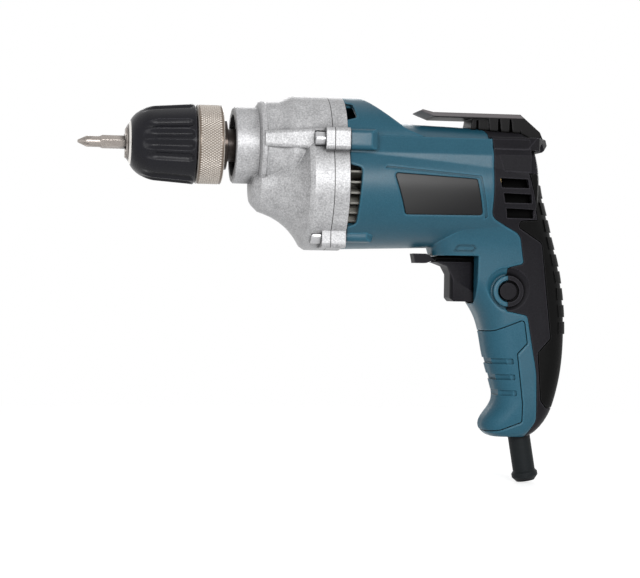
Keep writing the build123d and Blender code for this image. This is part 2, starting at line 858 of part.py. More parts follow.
# Motor: armature shaft with its pinion, core, windings, commutator and fan, on two bearings
motor_shaft_front = first_gear_front - 0.4
motor_shaft_back = tail_bearing_front + bearing_607_width
core_back = core_front + core_length
armature_radius = field_bore - air_gap
commutator_back = commutator_front + commutator_length
armature_shaft = rod(motor_bearing_front, tail_bearing_front, motor_shaft_radius - running_gap, z=motor_z)
armature_shaft += rod(tail_bearing_front, motor_shaft_back, motor_tail_radius - running_gap, z=motor_z)
armature_shaft += rod(plate_front, motor_bearing_front, motor_shaft_radius + 1.0, z=motor_z)
armature_shaft += gear(
    motor_pinion_teeth,
    stage_1_module,
    stage_1_shift,
    motor_shaft_front,
    plate_front,
    motor_to_counter,
    True,
    motor_pinion_tip_trim,
    z=motor_z,
)
nodes["armature_shaft"] = armature_shaft
nodes["armature_front_bearing"] = sleeve(
    motor_bearing_front + running_gap, motor_bearing_back, bearing_608_radius, motor_shaft_radius, z=motor_z
)
nodes["armature_rear_bearing"] = sleeve(
    tail_bearing_front + running_gap, motor_shaft_back, bearing_607_radius, motor_tail_radius, z=motor_z
)
shaft_seat = motor_shaft_radius - running_gap
core = sleeve(core_front, core_back, armature_radius, shaft_seat, z=motor_z)
armature_slots = 12
for k in range(armature_slots):
    slot = block(core_front - 1, core_back + 1, -0.9, 0.9, armature_radius - 5.0, armature_radius + 1)
    core -= Pos(0, 0, motor_z) * Rot(360 / armature_slots * k, 0, 0) * slot
nodes["armature_core"] = core
end_turns = []
for x_from, x_to in ((core_front - winding_overhang, core_front), (core_back, core_back + winding_overhang)):
    ring = sleeve(x_from, x_to, armature_radius - 1.6, shaft_seat + 1.0, z=motor_z)
    end_turns.append(fillet(ring.edges().filter_by(GeomType.CIRCLE).group_by(SortBy.RADIUS)[-1], 2.2))
insulators = [
    sleeve(core_front - winding_overhang, core_front, shaft_seat + 1.0, shaft_seat, z=motor_z),
    sleeve(core_back, core_back + winding_overhang, shaft_seat + 1.0, shaft_seat, z=motor_z),
]
nodes["armature_windings"] = Compound(children=[end_turns[0] + insulators[0], end_turns[1] + insulators[1]])
commutator = sleeve(commutator_front, commutator_back, commutator_radius, shaft_seat, z=motor_z)
commutator += sleeve(commutator_front, commutator_front + 2.5, commutator_radius + 1.8, shaft_seat, z=motor_z)
nodes["commutator"] = commutator
fan = sleeve(fan_hub_front, fan_back, fan_hub_radius, shaft_seat, z=motor_z)
fan += sleeve(fan_back - 1.4, fan_back, fan_radius, shaft_seat, z=motor_z)
for k in range(fan_blades):
    blade = block(fan_front, fan_back - 1.0, -fan_blade_half, fan_blade_half, fan_blade_root, fan_radius)
    fan += Pos(0, 0, motor_z) * Rot(360 / fan_blades * k, 0, 0) * blade
nodes["fan"] = fan

# Field: laminated ring with two poles, and a coil round each pole
window_half_height = 10.5
field = sleeve(core_front, core_back, field_radius, field_bore, z=motor_z)
coil_room = sleeve(core_front - 1, core_back + 1, field_radius - 4.6, field_bore - 1, z=motor_z)
coil_room &= block(core_front - 2, core_back + 2, -60, 60, motor_z - window_half_height, motor_z + window_half_height)
nodes["field_core"] = field - coil_room
coil_inner = field_bore + 0.7
coil_outer = field_radius - 5.2
coils = []
for side in (-1, 1):
    low = motor_z + side * 1.2
    span = sleeve(
        core_front - winding_overhang, core_back + winding_overhang, coil_outer, coil_inner, z=motor_z
    )
    half = block(60, 140, -60, 60, min(low, low + side * 40), max(low, low + side * 40))
    through = block(
        core_front - 0.8,
        core_back + 0.8,
        -60,
        60,
        min(motor_z + side * (window_half_height - 0.5), motor_z + side * 60),
        max(motor_z + side * (window_half_height - 0.5), motor_z + side * 60),
    )
    coils.append((span & half) - through)
nodes["field_coils"] = Compound(children=coils)

# Brush gear: carrier with the tail bearing cup, two brass holders, carbon brushes and their springs
carrier_front = core_back + winding_overhang + 0.6
cup_back = motor_shaft_back + 1.6
carrier_radius = barrel_split_radius - barrel_wall - seat_gap
carrier = sleeve(carrier_front, carrier_front + 3.0, carrier_radius, coil_outer - 1.0, z=motor_z)
cup = sleeve(tail_bearing_front - 2.0, cup_back, bearing_607_radius + 2.4, bearing_607_radius, z=motor_z)
cup += sleeve(motor_shaft_back, cup_back, bearing_607_radius + 1.0, motor_tail_radius + 1.5, z=motor_z)
carrier += cup
for side in (-1, 1):
    arm_low = motor_z + side * (coil_outer - 1.0)
    arm_high = motor_z + side * (carrier_radius - 3.6)
    carrier += block(
        carrier_front + 1, cup_back, -6, 6, min(arm_low, arm_high), max(arm_low, arm_high)
    )
    spoke_from = motor_z + side * (bearing_607_radius + 1.2)
    carrier += block(
        tail_bearing_front, cup_back, -6, 6, min(spoke_from, arm_high), max(spoke_from, arm_high)
    )
brush_x = commutator_back - brush_width - 2.0
holder_inner = commutator_radius + 1.2
holder_outer = carrier_radius - 1.6
shelf_top = motor_z - brush_height / 2 - brush_wall
carrier += both_sides(
    block(carrier_front + 1, brush_x + brush_width + brush_wall, holder_inner + 3, holder_outer, shelf_top - 3, shelf_top)
)
for side in (-1, 1):
    carrier -= rod(tunnel_front - 1, cup_back + 1, tunnel_radius + moving_gap, side * tunnel_y, tunnel_z)
nodes["brush_carrier"] = carrier
holders = []
brushes = []
brush_springs = []
brush_length = 11.0
for side in (-1, 1):
    span = sorted((side * holder_inner, side * holder_outer))
    tube = block(
        brush_x - brush_wall,
        brush_x + brush_width + brush_wall,
        span[0],
        span[1],
        motor_z - brush_height / 2 - brush_wall,
        motor_z + brush_height / 2 + brush_wall,
    )
    tube -= block(
        brush_x, brush_x + brush_width, span[0] - 1, span[1] + 1, motor_z - brush_height / 2, motor_z + brush_height / 2
    )
    holders.append(tube)
    reach = sorted((side * (commutator_radius - 2.0), side * (commutator_radius + brush_length)))
    brush = block(
        brush_x + seat_gap,
        brush_x + brush_width - seat_gap,
        reach[0],
        reach[1],
        motor_z - brush_height / 2 + seat_gap,
        motor_z + brush_height / 2 - seat_gap,
    )
    brush -= rod(commutator_front, commutator_back + 1, commutator_radius + running_gap, z=motor_z)
    brushes.append(brush)
    spring_span = sorted((side * (commutator_radius + brush_length), side * holder_outer))
    spring_length = spring_span[1] - spring_span[0]
    spring = Cylinder(2.4, spring_length) - Cylinder(1.6, spring_length + 2)
    middle_y = (spring_span[0] + spring_span[1]) / 2
    brush_springs.append(Pos(brush_x + brush_width / 2, middle_y, motor_z) * Rot(90, 0, 0) * spring)
nodes["brush_holders"] = Compound(children=holders)
nodes["carbon_brushes"] = Compound(children=brushes)
nodes["brush_springs"] = Compound(children=brush_springs)

# The handle: stations down the grip, each (height, front, back, half width)
stations = [
    (-14.0, 126.0, 168.6, 29.0),
    (-24.0, 116.0, 171.8, 29.8),
    (-34.0, 110.0, 175.0, 28.0),
    (-42.0, 108.0, 177.4, 24.4),
    (-48.0, 109.6, 179.2, 21.4),
    (-58.0, 112.0, 182.2, 19.4),
    (-74.0, 125.0, 185.5, 18.2),
    (-92.0, 138.4, 187.4, 17.4),
    (-112.0, 143.2, 187.3, 16.8),
    (-130.0, 148.2, 184.8, 16.4),
    (-138.5, 149.0, 182.6, 16.1),
    (-147.0, 143.6, 179.2, 15.6),
    (-154.0, 142.0, 174.0, 14.6),
    (-158.4, 147.0, 167.0, 11.8),
]
grip_roundness = 0.78


def station_at(height, column):
    """A value of the handle's stations at a height between two of them."""
    for upper, lower in zip(stations, stations[1:]):
        if lower[0] <= height <= upper[0]:
            share = (upper[0] - height) / (upper[0] - lower[0])
            return upper[column] + (lower[column] - upper[column]) * share
    return stations[-1][column]


def grip_outside():
    """The handle's smooth body through its stations."""
    faces = []
    for height, front, back, half_width in stations:
        depth = back - front
        face = RectangleRounded(depth, 2 * half_width, min(depth, 2 * half_width) / 2 * grip_roundness)
        faces.append(Pos((front + back) / 2, 0, height) * face)
    return loft(faces)


def grip_core(inset, sections):
    """The handle's inside at a depth under its skin, with flat facets."""
    faces = []
    for height, front, back, half_width in sections:
        near = front + inset
        far = back - inset
        wide = half_width - inset
        corner = 0.6 * (min(half_width, (back - front) / 2) * grip_roundness - inset)
        outline = [(near, corner - wide), (near + corner, -wide), (far - corner, -wide), (far, corner - wide)]
        outline += [(x, -y) for x, y in reversed(outline)]
        faces.append(Pos(0, 0, height) * make_face(Polyline(*outline, close=True).edges()))
    return loft(faces, ruled=True)


def barrel(inset):
    """The motor barrel: a drafted round body, rounded at the back, moved inwards by a wall."""
    front_x = plate_back - (1 if inset > 0 else 0)
    back_x = barrel_back_x - inset
    return turned_points(
        (front_x, 0),
        (front_x, barrel_front_radius - inset),
        (split_x, barrel_split_radius - inset),
        (back_x - barrel_back_round, barrel_back_radius - inset),
        (back_x - barrel_back_round * 0.3, barrel_back_radius - barrel_back_round * 0.3 - inset),
        (back_x, barrel_back_radius - barrel_back_round - inset),
        (back_x, 0),
        z=motor_z,
    )


def hood_cover(inset):
    """The raised front of the housing behind the gear case plate, with its sloping back."""
    front_x = plate_back - (1 if inset > 0 else 0)
    cover = rod(front_x, hood_fade_end + 1, hood_radius - inset)
    fall = [
        (front_x - 1, hood_radius - inset, 0),
        (hood_flat_end - inset * 0.4, hood_radius - inset, 1.5),
        (hood_slope_end - inset * 0.4, hood_slope_low - inset, 14),
        (hood_fade_end - inset * 0.4, hood_fade_low - inset, 0),
        (hood_fade_end - inset * 0.4, -10, 0),
        (front_x - 1, -10, 0),
    ]
    return cover & side_polygon(fall, -40, 40)


shoulder_section = [
    (slab_root, facet_top_z, 0),
    (facet_top_y, facet_top_z, 0),
    (facet_low_y, facet_low_z, 1.6),
    (barrel_back_radius - 0.3, motor_z, 0),
    (slab_root, motor_z, 0),
]
shoulder_back = barrel_back_x - 6.0
shoulder = end_prism(shoulder_section, plate_back, shoulder_back)

# Outside of the moulded body: barrel, hood, shoulders, handle, screw pads and the lock button's ring
lock_boss = Cylinder(lock_ring_radius, lock_boss_back_y - lock_ring_y, align=(Align.CENTER, Align.CENTER, Align.MIN))
lock_boss = Pos(lock_x, lock_boss_back_y, lock_z) * Rot(90, 0, 0) * lock_boss
lock_dish = Cone(lock_dish_radius, lock_ring_radius, lock_dish_depth, align=(Align.CENTER, Align.CENTER, Align.MIN))
lock_dish = Pos(lock_x, lock_ring_y + lock_ring_stand, lock_z) * Rot(-90, 0, 0) * lock_dish
lock_dish += Pos(lock_x, lock_ring_y + lock_ring_stand, lock_z) * Rot(90, 0, 0) * Cylinder(
    lock_dish_radius, 10, align=(Align.CENTER, Align.CENTER, Align.MIN)
)
band_section = [
    (0, band_bottom, 0),
    (band_low_y, band_bottom, 0.6),
    (band_top_y, band_top, 1.2),
    (0, band_top, 0),
]
band_side = [
    (split_x - 1, band_bottom),
    (band_end_x - 4.4, band_bottom),
    (band_end_x - 2.2, band_bottom + 1.9),
    (band_end_x, band_bottom + 4.3),
    (band_end_x - 1.6, band_top),
    (split_x - 1, band_top),
]
band_plan = [
    (split_x - 1, -40),
    (barrel_back_x - 8, -40),
    (barrel_back_x - 8, -band_low_y),
    (barrel_back_x, -band_corner_y, 2.0),
    (band_end_x, -hook_half_width),
    (band_end_x, hook_half_width),
    (barrel_back_x, band_corner_y, 2.0),
    (barrel_back_x - 8, band_low_y),
    (barrel_back_x - 8, 40),
    (split_x - 1, 40),
]
panel_outline = [
    (142.4, band_bottom - 2.6),
    (180, band_bottom - 2.6),
    (180, -13.2),
    (145.3, -12.4),
]
pads = []
pad_end = plate_back + ear_pad_length
for ear_y, pad_z, pad_half in (
    (upper_ear_y, upper_ear_z, upper_pad_half),
    (lower_ear_y, lower_ear_z + lower_pad_rise, lower_pad_half),
):
    pad = ear(plate_back, pad_end, ear_y, pad_z, pad_half)
    pad_plan = [
        (plate_back, 0, 0),
        (pad_end, 0, 0),
        (pad_end, ear_y + pad_half - 2.0, 2.0),
        (pad_end - 5.0, ear_y + pad_half + 0.6, 4.0),
        (plate_back, ear_y + pad_half + 0.6, 0),
    ]
    pad_side = [
        (plate_back, pad_z - pad_half, 0),
        (pad_end, pad_z - pad_half, 2.4),
        (pad_end, pad_z + pad_half, 2.4),
        (plate_back, pad_z + pad_half, 0),
    ]
    pad &= plan_polygon(pad_plan, pad_z - 20, pad_z + 20)
    pad &= side_polygon(pad_side, 0, 60)
    pads += [pad, mirror(pad, Plane.XZ)]
throat_cut = [
    (90, pocket_top),
    (pocket_front_x, pocket_top),
    (pocket_front_x, pocket_bottom),
    (pocket_front_x - 2.0, pocket_bottom - 1.0),
    (126, -100),
    (90, -100),
]
throat = side_polygon(throat_cut, -40, 40)
grip = grip_outside()
cover_band = end_prism(band_section, split_x, band_end_x)
cover_band += mirror(cover_band, Plane.XZ)
cover_band &= side_polygon(band_side, -40, 40)
cover_band &= plan_polygon(band_plan, band_bottom - 5, band_top + 10)
outside = barrel(0) + [hood_cover(0), shoulder, mirror(shoulder, Plane.XZ), grip, cover_band] + pads
outside -= [throat, lock_dish]
outside += lock_boss
for side in (-1, 1):
    outside -= side_polygon(panel_outline, min(side * panel_y, side * 60), max(side * panel_y, side * 60), 0.8)

# The hollow inside, kept away from the trigger pocket and the lock button's ring
pocket_back = pocket_front_x + pocket_wall
handle_hollow = grip_core(handle_wall, stations[1:-2])
handle_hollow -= block(90, pocket_back, -40, 40, pocket_bottom - pocket_wall, pocket_top + pocket_wall)
handle_hollow -= lock_boss
shell = outside - [barrel(barrel_wall), hood_cover(barrel_wall), handle_hollow]

# Ribs and pillars inside that hold the field, switch, capacitor, screws and cord clamp
ribs = []
for k in range(4):
    rib = block(core_front - 2, core_back + 2, -field_rib_width / 2, field_rib_width / 2, field_radius, field_rib_end)
    ribs.append(Pos(0, 0, motor_z) * Rot(45 + 90 * k, 0, 0) * rib)
foot_back = station_at(foot_screw_z, 2)
foot_front = station_at(foot_screw_z, 1)
for side in (-1, 1):
    rib_span = sorted((side * switch_half_width, side * 16.5))
    ribs.append(block(switch_rib_x, switch_rib_x + inner_rib, *rib_span, switch_bottom + 6, switch_top - 3))
    ribs.append(rod(tunnel_front, barrel_back_x - 4.5, tunnel_radius, side * tunnel_y, tunnel_z))
    post_span = sorted((side * 5.5, side * 13.5))
    ribs.append(block(clamp_post_front, clamp_front, *post_span, clamp_top - clamp_height - 1, clamp_top + 1))
rib_reach = 1.5
switch_rib_end = station_at(switch_bottom, 2) - handle_wall + rib_reach
ribs.append(block(switch_back, switch_rib_end, -inner_rib, inner_rib, switch_bottom + 9, switch_top - 7))
capacitor_rib_end = station_at(capacitor_top, 2) - handle_wall + rib_reach
capacitor_low = capacitor_top - capacitor_height
ribs.append(block(capacitor_back, capacitor_rib_end, -inner_rib, inner_rib, capacitor_low + 2, capacitor_top - 2))
ribs.append(rod(foot_front + 1.5, foot_back - 1.5, tunnel_radius, 0, foot_screw_z))
hook_post = Cylinder(hook_screw_radius + 2.2, 4, align=(Align.CENTER, Align.CENTER, Align.MIN))
ribs.append(Pos(hook_screw_x, 0, motor_z + barrel_back_radius - 4.4) * hook_post)
shell += ribs

# Screws that hold the cover on the housing, from behind
screw_holes = []
cover_screws = []
for head_x, screw_y, screw_z in (
    (barrel_screw_head_x, -tunnel_y, tunnel_z),
    (barrel_screw_head_x, tunnel_y, tunnel_z),
    (foot_screw_head_x, 0, foot_screw_z),
):
    shank = rod(head_x - cover_screw_length, head_x, cover_screw_radius, screw_y, screw_z)
    head = rod(head_x - cover_screw_head_height, head_x, cover_screw_head_radius, screw_y, screw_z)
    cover_screws.append(shank + head - Pos(head_x, screw_y, screw_z) * Rot(0, 90, 0) * driver_cross())
    screw_holes.append(rod(head_x - cover_screw_length, head_x, cover_screw_radius, screw_y, screw_z))
    screw_holes.append(rod(head_x - cover_screw_head_height, 200, cover_screw_head_radius + seat_gap, screw_y, screw_z))
nodes["handle_cover_screws"] = Compound(children=cover_screws)

# Cord clamp: a bar across the cord on two posts, with two screws
clamp_back = clamp_front + clamp_thickness
clamp = block(clamp_front, clamp_back, -clamp_half_width, clamp_half_width, clamp_top - clamp_height, clamp_top)
clamp_screws = []
clamp_holes = []
clamp_z = clamp_top - clamp_height / 2
for side in (-1, 1):
    head_back = clamp_back + clamp_screw_head_height
    shank = rod(head_back - clamp_screw_length, head_back, clamp_screw_radius, side * clamp_screw_y, clamp_z)
    head = rod(clamp_back, head_back, clamp_screw_head_radius, side * clamp_screw_y, clamp_z)
    clamp_screws.append(shank + head)
    clamp_holes.append(rod(head_back - clamp_screw_length, head_back, clamp_screw_radius, side * clamp_screw_y, clamp_z))
nodes["cord_clamp"] = clamp - clamp_holes
nodes["cord_clamp_screws"] = Compound(children=clamp_screws)

# Openings: fan vents, intake slots, trigger window, lock button well, cord hole and screw holes
openings = screw_holes + clamp_holes
for side in (-1, 1):
    vent = [
        (plate_back - 2, vent_top),
        (vent_back, vent_top - 2.4),
        (vent_back - 1.8, vent_bottom + 2.6),
        (plate_back - 2, vent_bottom),
    ]
    openings.append(side_polygon(vent, min(side * 24, side * 60), max(side * 24, side * 60), 2.2))
    top_vent = [
        (plate_back - 2, 23.4),
        (plate_back + 4.2, 22.4),
        (plate_back + 5.6, 15.0),
        (plate_back - 2, 13.0),
    ]
    openings.append(side_polygon(top_vent, min(side * 13, side * 60), max(side * 13, side * 60), 1.2))
    for k in range(slot_count):
        slot_from = slot_front + slot_stagger * k
        slot_z = slot_top - slot_pitch * k
        slot = [
            (slot_from, slot_z),
            (slot_from + slot_length, slot_z - 0.4),
            (slot_from + slot_length + 0.6, slot_z - slot_height),
            (slot_from + 1.2, slot_z - slot_height),
        ]
        openings.append(side_polygon(slot, min(side * 14, side * 60), max(side * 14, side * 60)))
    for ear_y, ear_z in ear_places:
        openings.append(rod(plate_back - 1, case_screw_end + 0.5, case_screw_radius, side * ear_y, ear_z))
trigger_side = trigger_half_width + moving_gap
openings.append(block(pocket_front_x - 2, pocket_back + 1, -trigger_side, trigger_side, pocket_bottom, pocket_top))
lock_bore = Cylinder(lock_cap_radius + moving_gap, 20)
lock_well = Cylinder(lock_well_radius, 3.2)
openings.append(Pos(lock_x, lock_boss_back_y - 6, lock_z) * Rot(90, 0, 0) * lock_bore)
openings.append(Pos(lock_x, lock_ring_y, lock_z) * Rot(90, 0, 0) * lock_well)
boot_axis = Pos(boot_x, 0, boot_exit_z) * Rot(0, 90 - boot_tilt, 0)
boot_flange_back = boot_flange_thickness - boot_inner
openings.append(boot_axis * rod(-boot_inner - 8, boot_length, boot_radius + seat_gap))
openings.append(boot_axis * rod(-boot_inner - 8, boot_flange_back, boot_flange_radius + seat_gap))
hook_hole = Cylinder(hook_screw_radius, 40)
openings.append(Pos(hook_screw_x, 0, hook_top) * hook_hole)
shell -= openings

# Soft panels: the grip rubber at the back and the pad at the front lie in shallow pockets
rubber_outline = [
    (159.7, -13.8, 0),
    (167.4, -38.4, 0.8),
    (156.4, -39.4, 1.0),
    (156.4, -42.4, 2.0),
    (171.0, -50.8, 4.0),
    (177.4, -103.6, 1.2),
    (170.3, -111.6, 1.2),
    (172.4, -138.0, 3.0),
    (176.0, -142.0, 2.0),
    (215.0, -142.0, 0),
    (215.0, -13.8, 0),
]
pad_outline = [
    (120.0, -100.4, 0),
    (145.3, -99.9, 12),
    (161.6, -93.6, 1.4),
    (163.5, -106.2, 1.2),
    (158.0, -112.0, 1.6),
    (161.6, -140.0, 30),
    (161.5, -149.8, 1.2),
    (148.7, -154.6, 14),
    (120.0, -156.6, 0),
]
skin_core = grip_core(skin_depth, stations[:-1])
rubber_room = side_polygon(rubber_outline, -60, 60, grow=skin_gap) - [skin_core, barrel(skin_depth)]
pad_room = side_polygon(pad_outline, -60, 60, grow=skin_gap) - skin_core
grip_rubber = (outside & side_polygon(rubber_outline, -60, 60)) - [skin_core, barrel(skin_depth)] - screw_holes
grip_ribs = []
for k in range(grip_rib_count):
    rib_top = grip_rib_top - grip_rib_pitch * k
    rib_low = rib_top - grip_rib_height
    top_back = station_at(rib_top, 2)
    low_back = station_at(rib_low, 2)
    rib_side = [
        (top_back - grip_rib_reach, rib_top),
        (top_back + grip_rib_reach, rib_top),
        (low_back + grip_rib_reach, rib_low),
        (low_back - grip_rib_reach, rib_low),
    ]
    grip_rib = side_polygon(rib_side, -30, 30) & (Pos(grip_rib_rise, 0, 0) * grip)
    grip_ribs.append(grip_rib - [skin_core, barrel(skin_depth)])
nodes["grip_rubber"] = grip_rubber + grip_ribs
groove_core = grip_core(pad_rib_depth, stations[7:11])
recesses = []
for k in range(pad_rib_count):
    rib_z = pad_rib_top - pad_rib_pitch * k
    rib_end = pad_rib_end + pad_rib_step * k
    recess = [
        (pad_rib_front, rib_z),
        (rib_end, rib_z),
        (rib_end + 0.4, rib_z - pad_rib_height),
        (pad_rib_front, rib_z - pad_rib_height),
    ]
    recesses.append(side_polygon(recess, -30, 30, 0.7) - groove_core)
nodes["front_grip_pad"] = (outside & side_polygon(pad_outline, -60, 60)) - [skin_core] - recesses

# Side plate: bare plate let into the barrel's left side
side_plate_outline = [(84.3, -15.1), (129.6, -17.4), (133.8, -36.2), (91.2, -36.6)]
side_plate_room = side_polygon(side_plate_outline, -60, 0, 1.2, grow=moving_gap) - barrel(side_plate_recess)
side_plate = barrel(-side_plate_stand) & side_polygon(side_plate_outline, -60, 0, 1.2)
nodes["side_plate"] = side_plate - barrel(side_plate_recess)


# A shallow channel moulded in the barrel above and behind the plate
frame_line = [(80.0, -11.2, 0), (132.4, -15.4, 1.0), (137.0, -37.2, 0)]
frame_line += [(x - groove_width, z - groove_width, corner) for x, z, corner in reversed(frame_line)]
frame_groove = side_polygon(frame_line, -60, 0) - barrel(groove_depth)

# Where the housing ends and the cover begins, seen from the side, with the round of each corner
split_line = [
    (hook_foot_x - 10.5, 60, 0),
    (hook_foot_x - 10.5, 13.4, 0),
    (split_x, 12.8, 5.0),
    (split_x, -37.4, 6.0),
    (157.6, -46.6, 7.0),
    (160.4, -62.3, 1.6),
    (151.4, -64.6, 2.0),
    (151.4, -88.6, 1.2),
    (163.4, -91.0, 2.4),
    (169.3, -123.0, 30.0),
    (169.9, -149.6, 6.0),
    (163.8, -158.6, 0),
    (163.8, -200, 0),
]
front_outline = [(0, 60)] + split_line + [(0, -200)]
front_region = side_polygon(front_outline, -60, 60)
cover_edge = side_polygon(front_outline, -60, 60, grow=seam_gap)
nodes["motor_housing"] = (shell & front_region) - [pad_room, side_plate_room, frame_groove]
nodes["handle_cover"] = shell - [cover_edge, rubber_room]

# Fan baffle: ring that guides the air into the fan
baffle_radius = barrel_front_radius - barrel_wall - 0.9
nodes["fan_baffle"] = sleeve(baffle_front, baffle_front + baffle_thickness, baffle_radius, armature_radius + 1.0, z=motor_z)

# Trigger with its plunger, and the switch behind it
trigger_outline = [
    (trigger_lip_x, trigger_top + 0.6),
    (trigger_front - 2.0, trigger_top - 1.8),
    (trigger_front, trigger_top - 5.5),
    (trigger_front, trigger_bottom + 2.2),
    (trigger_front + 2.2, trigger_bottom),
    (trigger_back, trigger_bottom),
    (trigger_back, trigger_top + 0.6),
]
trigger = side_polygon(trigger_outline, -trigger_half_width, trigger_half_width)
trigger = fillet(trigger.edges().filter_by(Axis.Z).group_by(Axis.X)[0], trigger_round)
plunger_z = (trigger_top + trigger_bottom) / 2
trigger += rod(trigger_back - 1, trigger_back + plunger_length, plunger_radius, 0, plunger_z)
nodes["trigger"] = trigger
plunger_room = trigger_back + plunger_length + trigger_travel + 1
switch = block(switch_front, switch_back, -switch_half_width, switch_half_width, switch_bottom, switch_top)
switch -= rod(switch_front - 1, plunger_room, plunger_radius + moving_gap, 0, plunger_z)
lever_top = pocket_top - moving_gap
lever_low = lever_top - lever_arm_thickness
lever_pin = Cylinder(lever_pin_radius, lever_top + 0.6 - switch_top, align=(Align.CENTER, Align.CENTER, Align.MIN))
switch += Pos(lever_pivot_x, 0, switch_top) * lever_pin
lock_hole = Cylinder(lock_stem_radius + moving_gap, 12)
switch -= Pos(lock_x, -switch_half_width, lock_z) * Rot(90, 0, 0) * lock_hole
nodes["switch_body"] = switch
nodes["trigger_spring"] = sleeve(trigger_back, switch_front, plunger_radius + 1.6, plunger_radius + 0.6, 0, plunger_z)

# Reversing lever: a tab in front of the handle on an arm that pivots on the switch
lever = block(lever_tip_x + 4, lever_pivot_x, -lever_arm_half, lever_arm_half, lever_low, lever_top)
eye = Cylinder(lever_pin_radius + 2.2, lever_arm_thickness, align=(Align.CENTER, Align.CENTER, Align.MIN))
lever += Pos(lever_pivot_x, 0, lever_low) * eye
lever -= Pos(lever_pivot_x, 0, lever_low) * Cylinder(lever_pin_radius + running_gap, 20)
tab_end = lever_tip_x + lever_tab_length
tab = side_polygon(
    [
        (lever_tip_x, lever_tab_top),
        (lever_tip_x + 1.0, lever_tab_bottom),
        (tab_end - 2, lever_tab_bottom),
        (tab_end + 2.6, lever_low),
        (tab_end + 0.4, lever_top),
        (tab_end - 2, lever_tab_top),
    ],
    -lever_tab_half,
    lever_tab_half,
)
nodes["reverse_lever"] = lever + tab

# Lock button: cap in its well, a flange behind the wall, and a stem into the switch
cap = Cylinder(lock_cap_radius, lock_boss_back_y - lock_face_y + 0.4, align=(Align.CENTER, Align.CENTER, Align.MAX))
flange = Cylinder(lock_flange_radius, 1.0, align=(Align.CENTER, Align.CENTER, Align.MAX))
stem = Cylinder(lock_stem_radius, 5.0, align=(Align.CENTER, Align.CENTER, Align.MAX))
facing_in = Rot(90, 0, 0)
button = Pos(lock_x, lock_face_y, lock_z) * facing_in * cap
button += Pos(lock_x, lock_boss_back_y + 0.3, lock_z) * facing_in * flange
button += Pos(lock_x, lock_boss_back_y + 1.2, lock_z) * facing_in * stem
nodes["lock_button"] = button
lock_spring_front = lock_boss_back_y + 1.3
lock_spring_length = -switch_half_width - lock_spring_front
lock_spring = Cylinder(lock_stem_radius + 1.5, lock_spring_length)
lock_spring -= Cylinder(lock_stem_radius + 0.7, lock_spring_length + 2)
nodes["lock_spring"] = Pos(lock_x, lock_spring_front + lock_spring_length / 2, lock_z) * facing_in * lock_spring

# Capacitor across the mains leads
nodes["suppressor_capacitor"] = block(
    capacitor_back - capacitor_length,
    capacitor_back,
    -capacitor_half_width,
    capacitor_half_width,
    capacitor_top - capacitor_height,
    capacitor_top,
)

# Belt hook: a flat bar over the barrel on a gusseted tail, screwed to the cover
hook_low = hook_top - hook_thickness
bar_outline = [
    (hook_tip_x, hook_top + hook_tip_rise - 0.7),
    (hook_tip_x + 1.0, hook_top + hook_tip_rise),
    (hook_knee_x, hook_top),
    (hook_tail_x, hook_top),
    (hook_drop_x, hook_drop_z),
    (hook_end_x, hook_end_z),
    (hook_end_x - 2.6, hook_end_z - 1.8),
    (hook_drop_x - 2.6, hook_drop_z - 1.6),
    (hook_tail_x - 1.2, hook_low),
    (hook_knee_x + 1.5, hook_low),
    (hook_tip_x + 1.4, hook_top + hook_tip_rise - 1.4),
]
web_outline = [
    (hook_foot_x, hook_low + 0.5),
    (hook_tail_x - 1.0, hook_low + 0.5),
    (hook_drop_x - 2, hook_drop_z - 1),
    (hook_end_x - 2.8, hook_end_z - 1.6),
    (barrel_back_x - 7, 0),
    (hook_foot_x, 0),
]
tail_outline = [
    (hook_tail_x - 1.2, hook_low + 0.5),
    (hook_drop_x - 1, hook_drop_z - 0.6),
    (hook_end_x - 1, hook_end_z),
    (hook_tail_x + 5, 0),
    (hook_tail_x + 1.4, band_top),
]
foot_outline = [
    (hook_foot_x - 10.5, 8),
    (hook_foot_x - 8.6, hook_low + 0.5),
    (hook_foot_x + 1, hook_low + 0.5),
    (hook_foot_x + 1, 0),
    (hook_foot_x - 2, 0),
    (hook_foot_x - 2, 8),
]
foot_notch = [
    (hook_foot_x - 7.2, 10),
    (hook_foot_x - 6.6, hook_low - 1),
    (hook_foot_x - 5.4, hook_low - 1),
    (hook_foot_x - 5.4, 10),
]
hook = side_polygon(bar_outline, -hook_half_width, hook_half_width)
inner_half = hook_half_width - hook_recess
gussets = [
    side_polygon(web_outline, -inner_half, inner_half),
    side_polygon(tail_outline, -hook_half_width, hook_half_width),
    side_polygon(foot_outline, -hook_half_width + 1, hook_half_width - 1),
]
for k in range(hook_pillars):
    pillar_x = hook_foot_x + hook_pillar_pitch * k
    pillar = [
        (pillar_x, hook_low + 0.5),
        (pillar_x + hook_pillar_top, hook_low + 0.5),
        (pillar_x + hook_pillar_top - 0.8, 0),
        (pillar_x + hook_pillar_top - 0.8 - hook_pillar_bottom, 0),
    ]
    gussets.append(side_polygon(pillar, -hook_half_width, hook_half_width))
hook += gussets
hook -= [
    barrel(0),
    shoulder,
    mirror(shoulder, Plane.XZ),
    cover_band,
    side_polygon(foot_notch, -60, -inner_half),
    side_polygon(foot_notch, inner_half, 60),
]
screw_top = hook_top - 0.6
hook_screw = Cylinder(hook_screw_radius, hook_screw_length, align=(Align.CENTER, Align.CENTER, Align.MAX))
hook_screw += Cylinder(hook_screw_head_radius, hook_screw_head_height, align=(Align.CENTER, Align.CENTER, Align.MAX))
hook_screw = Pos(hook_screw_x, 0, screw_top) * hook_screw
head_room = Cylinder(
    hook_screw_head_radius + seat_gap, hook_screw_head_height + 4, align=(Align.CENTER, Align.CENTER, Align.MIN)
)
hook -= [
    Pos(hook_screw_x, 0, screw_top - hook_screw_head_height) * head_room,
    Pos(hook_screw_x, 0, hook_top) * Cylinder(hook_screw_radius, 60),
]
nodes["belt_hook"] = hook
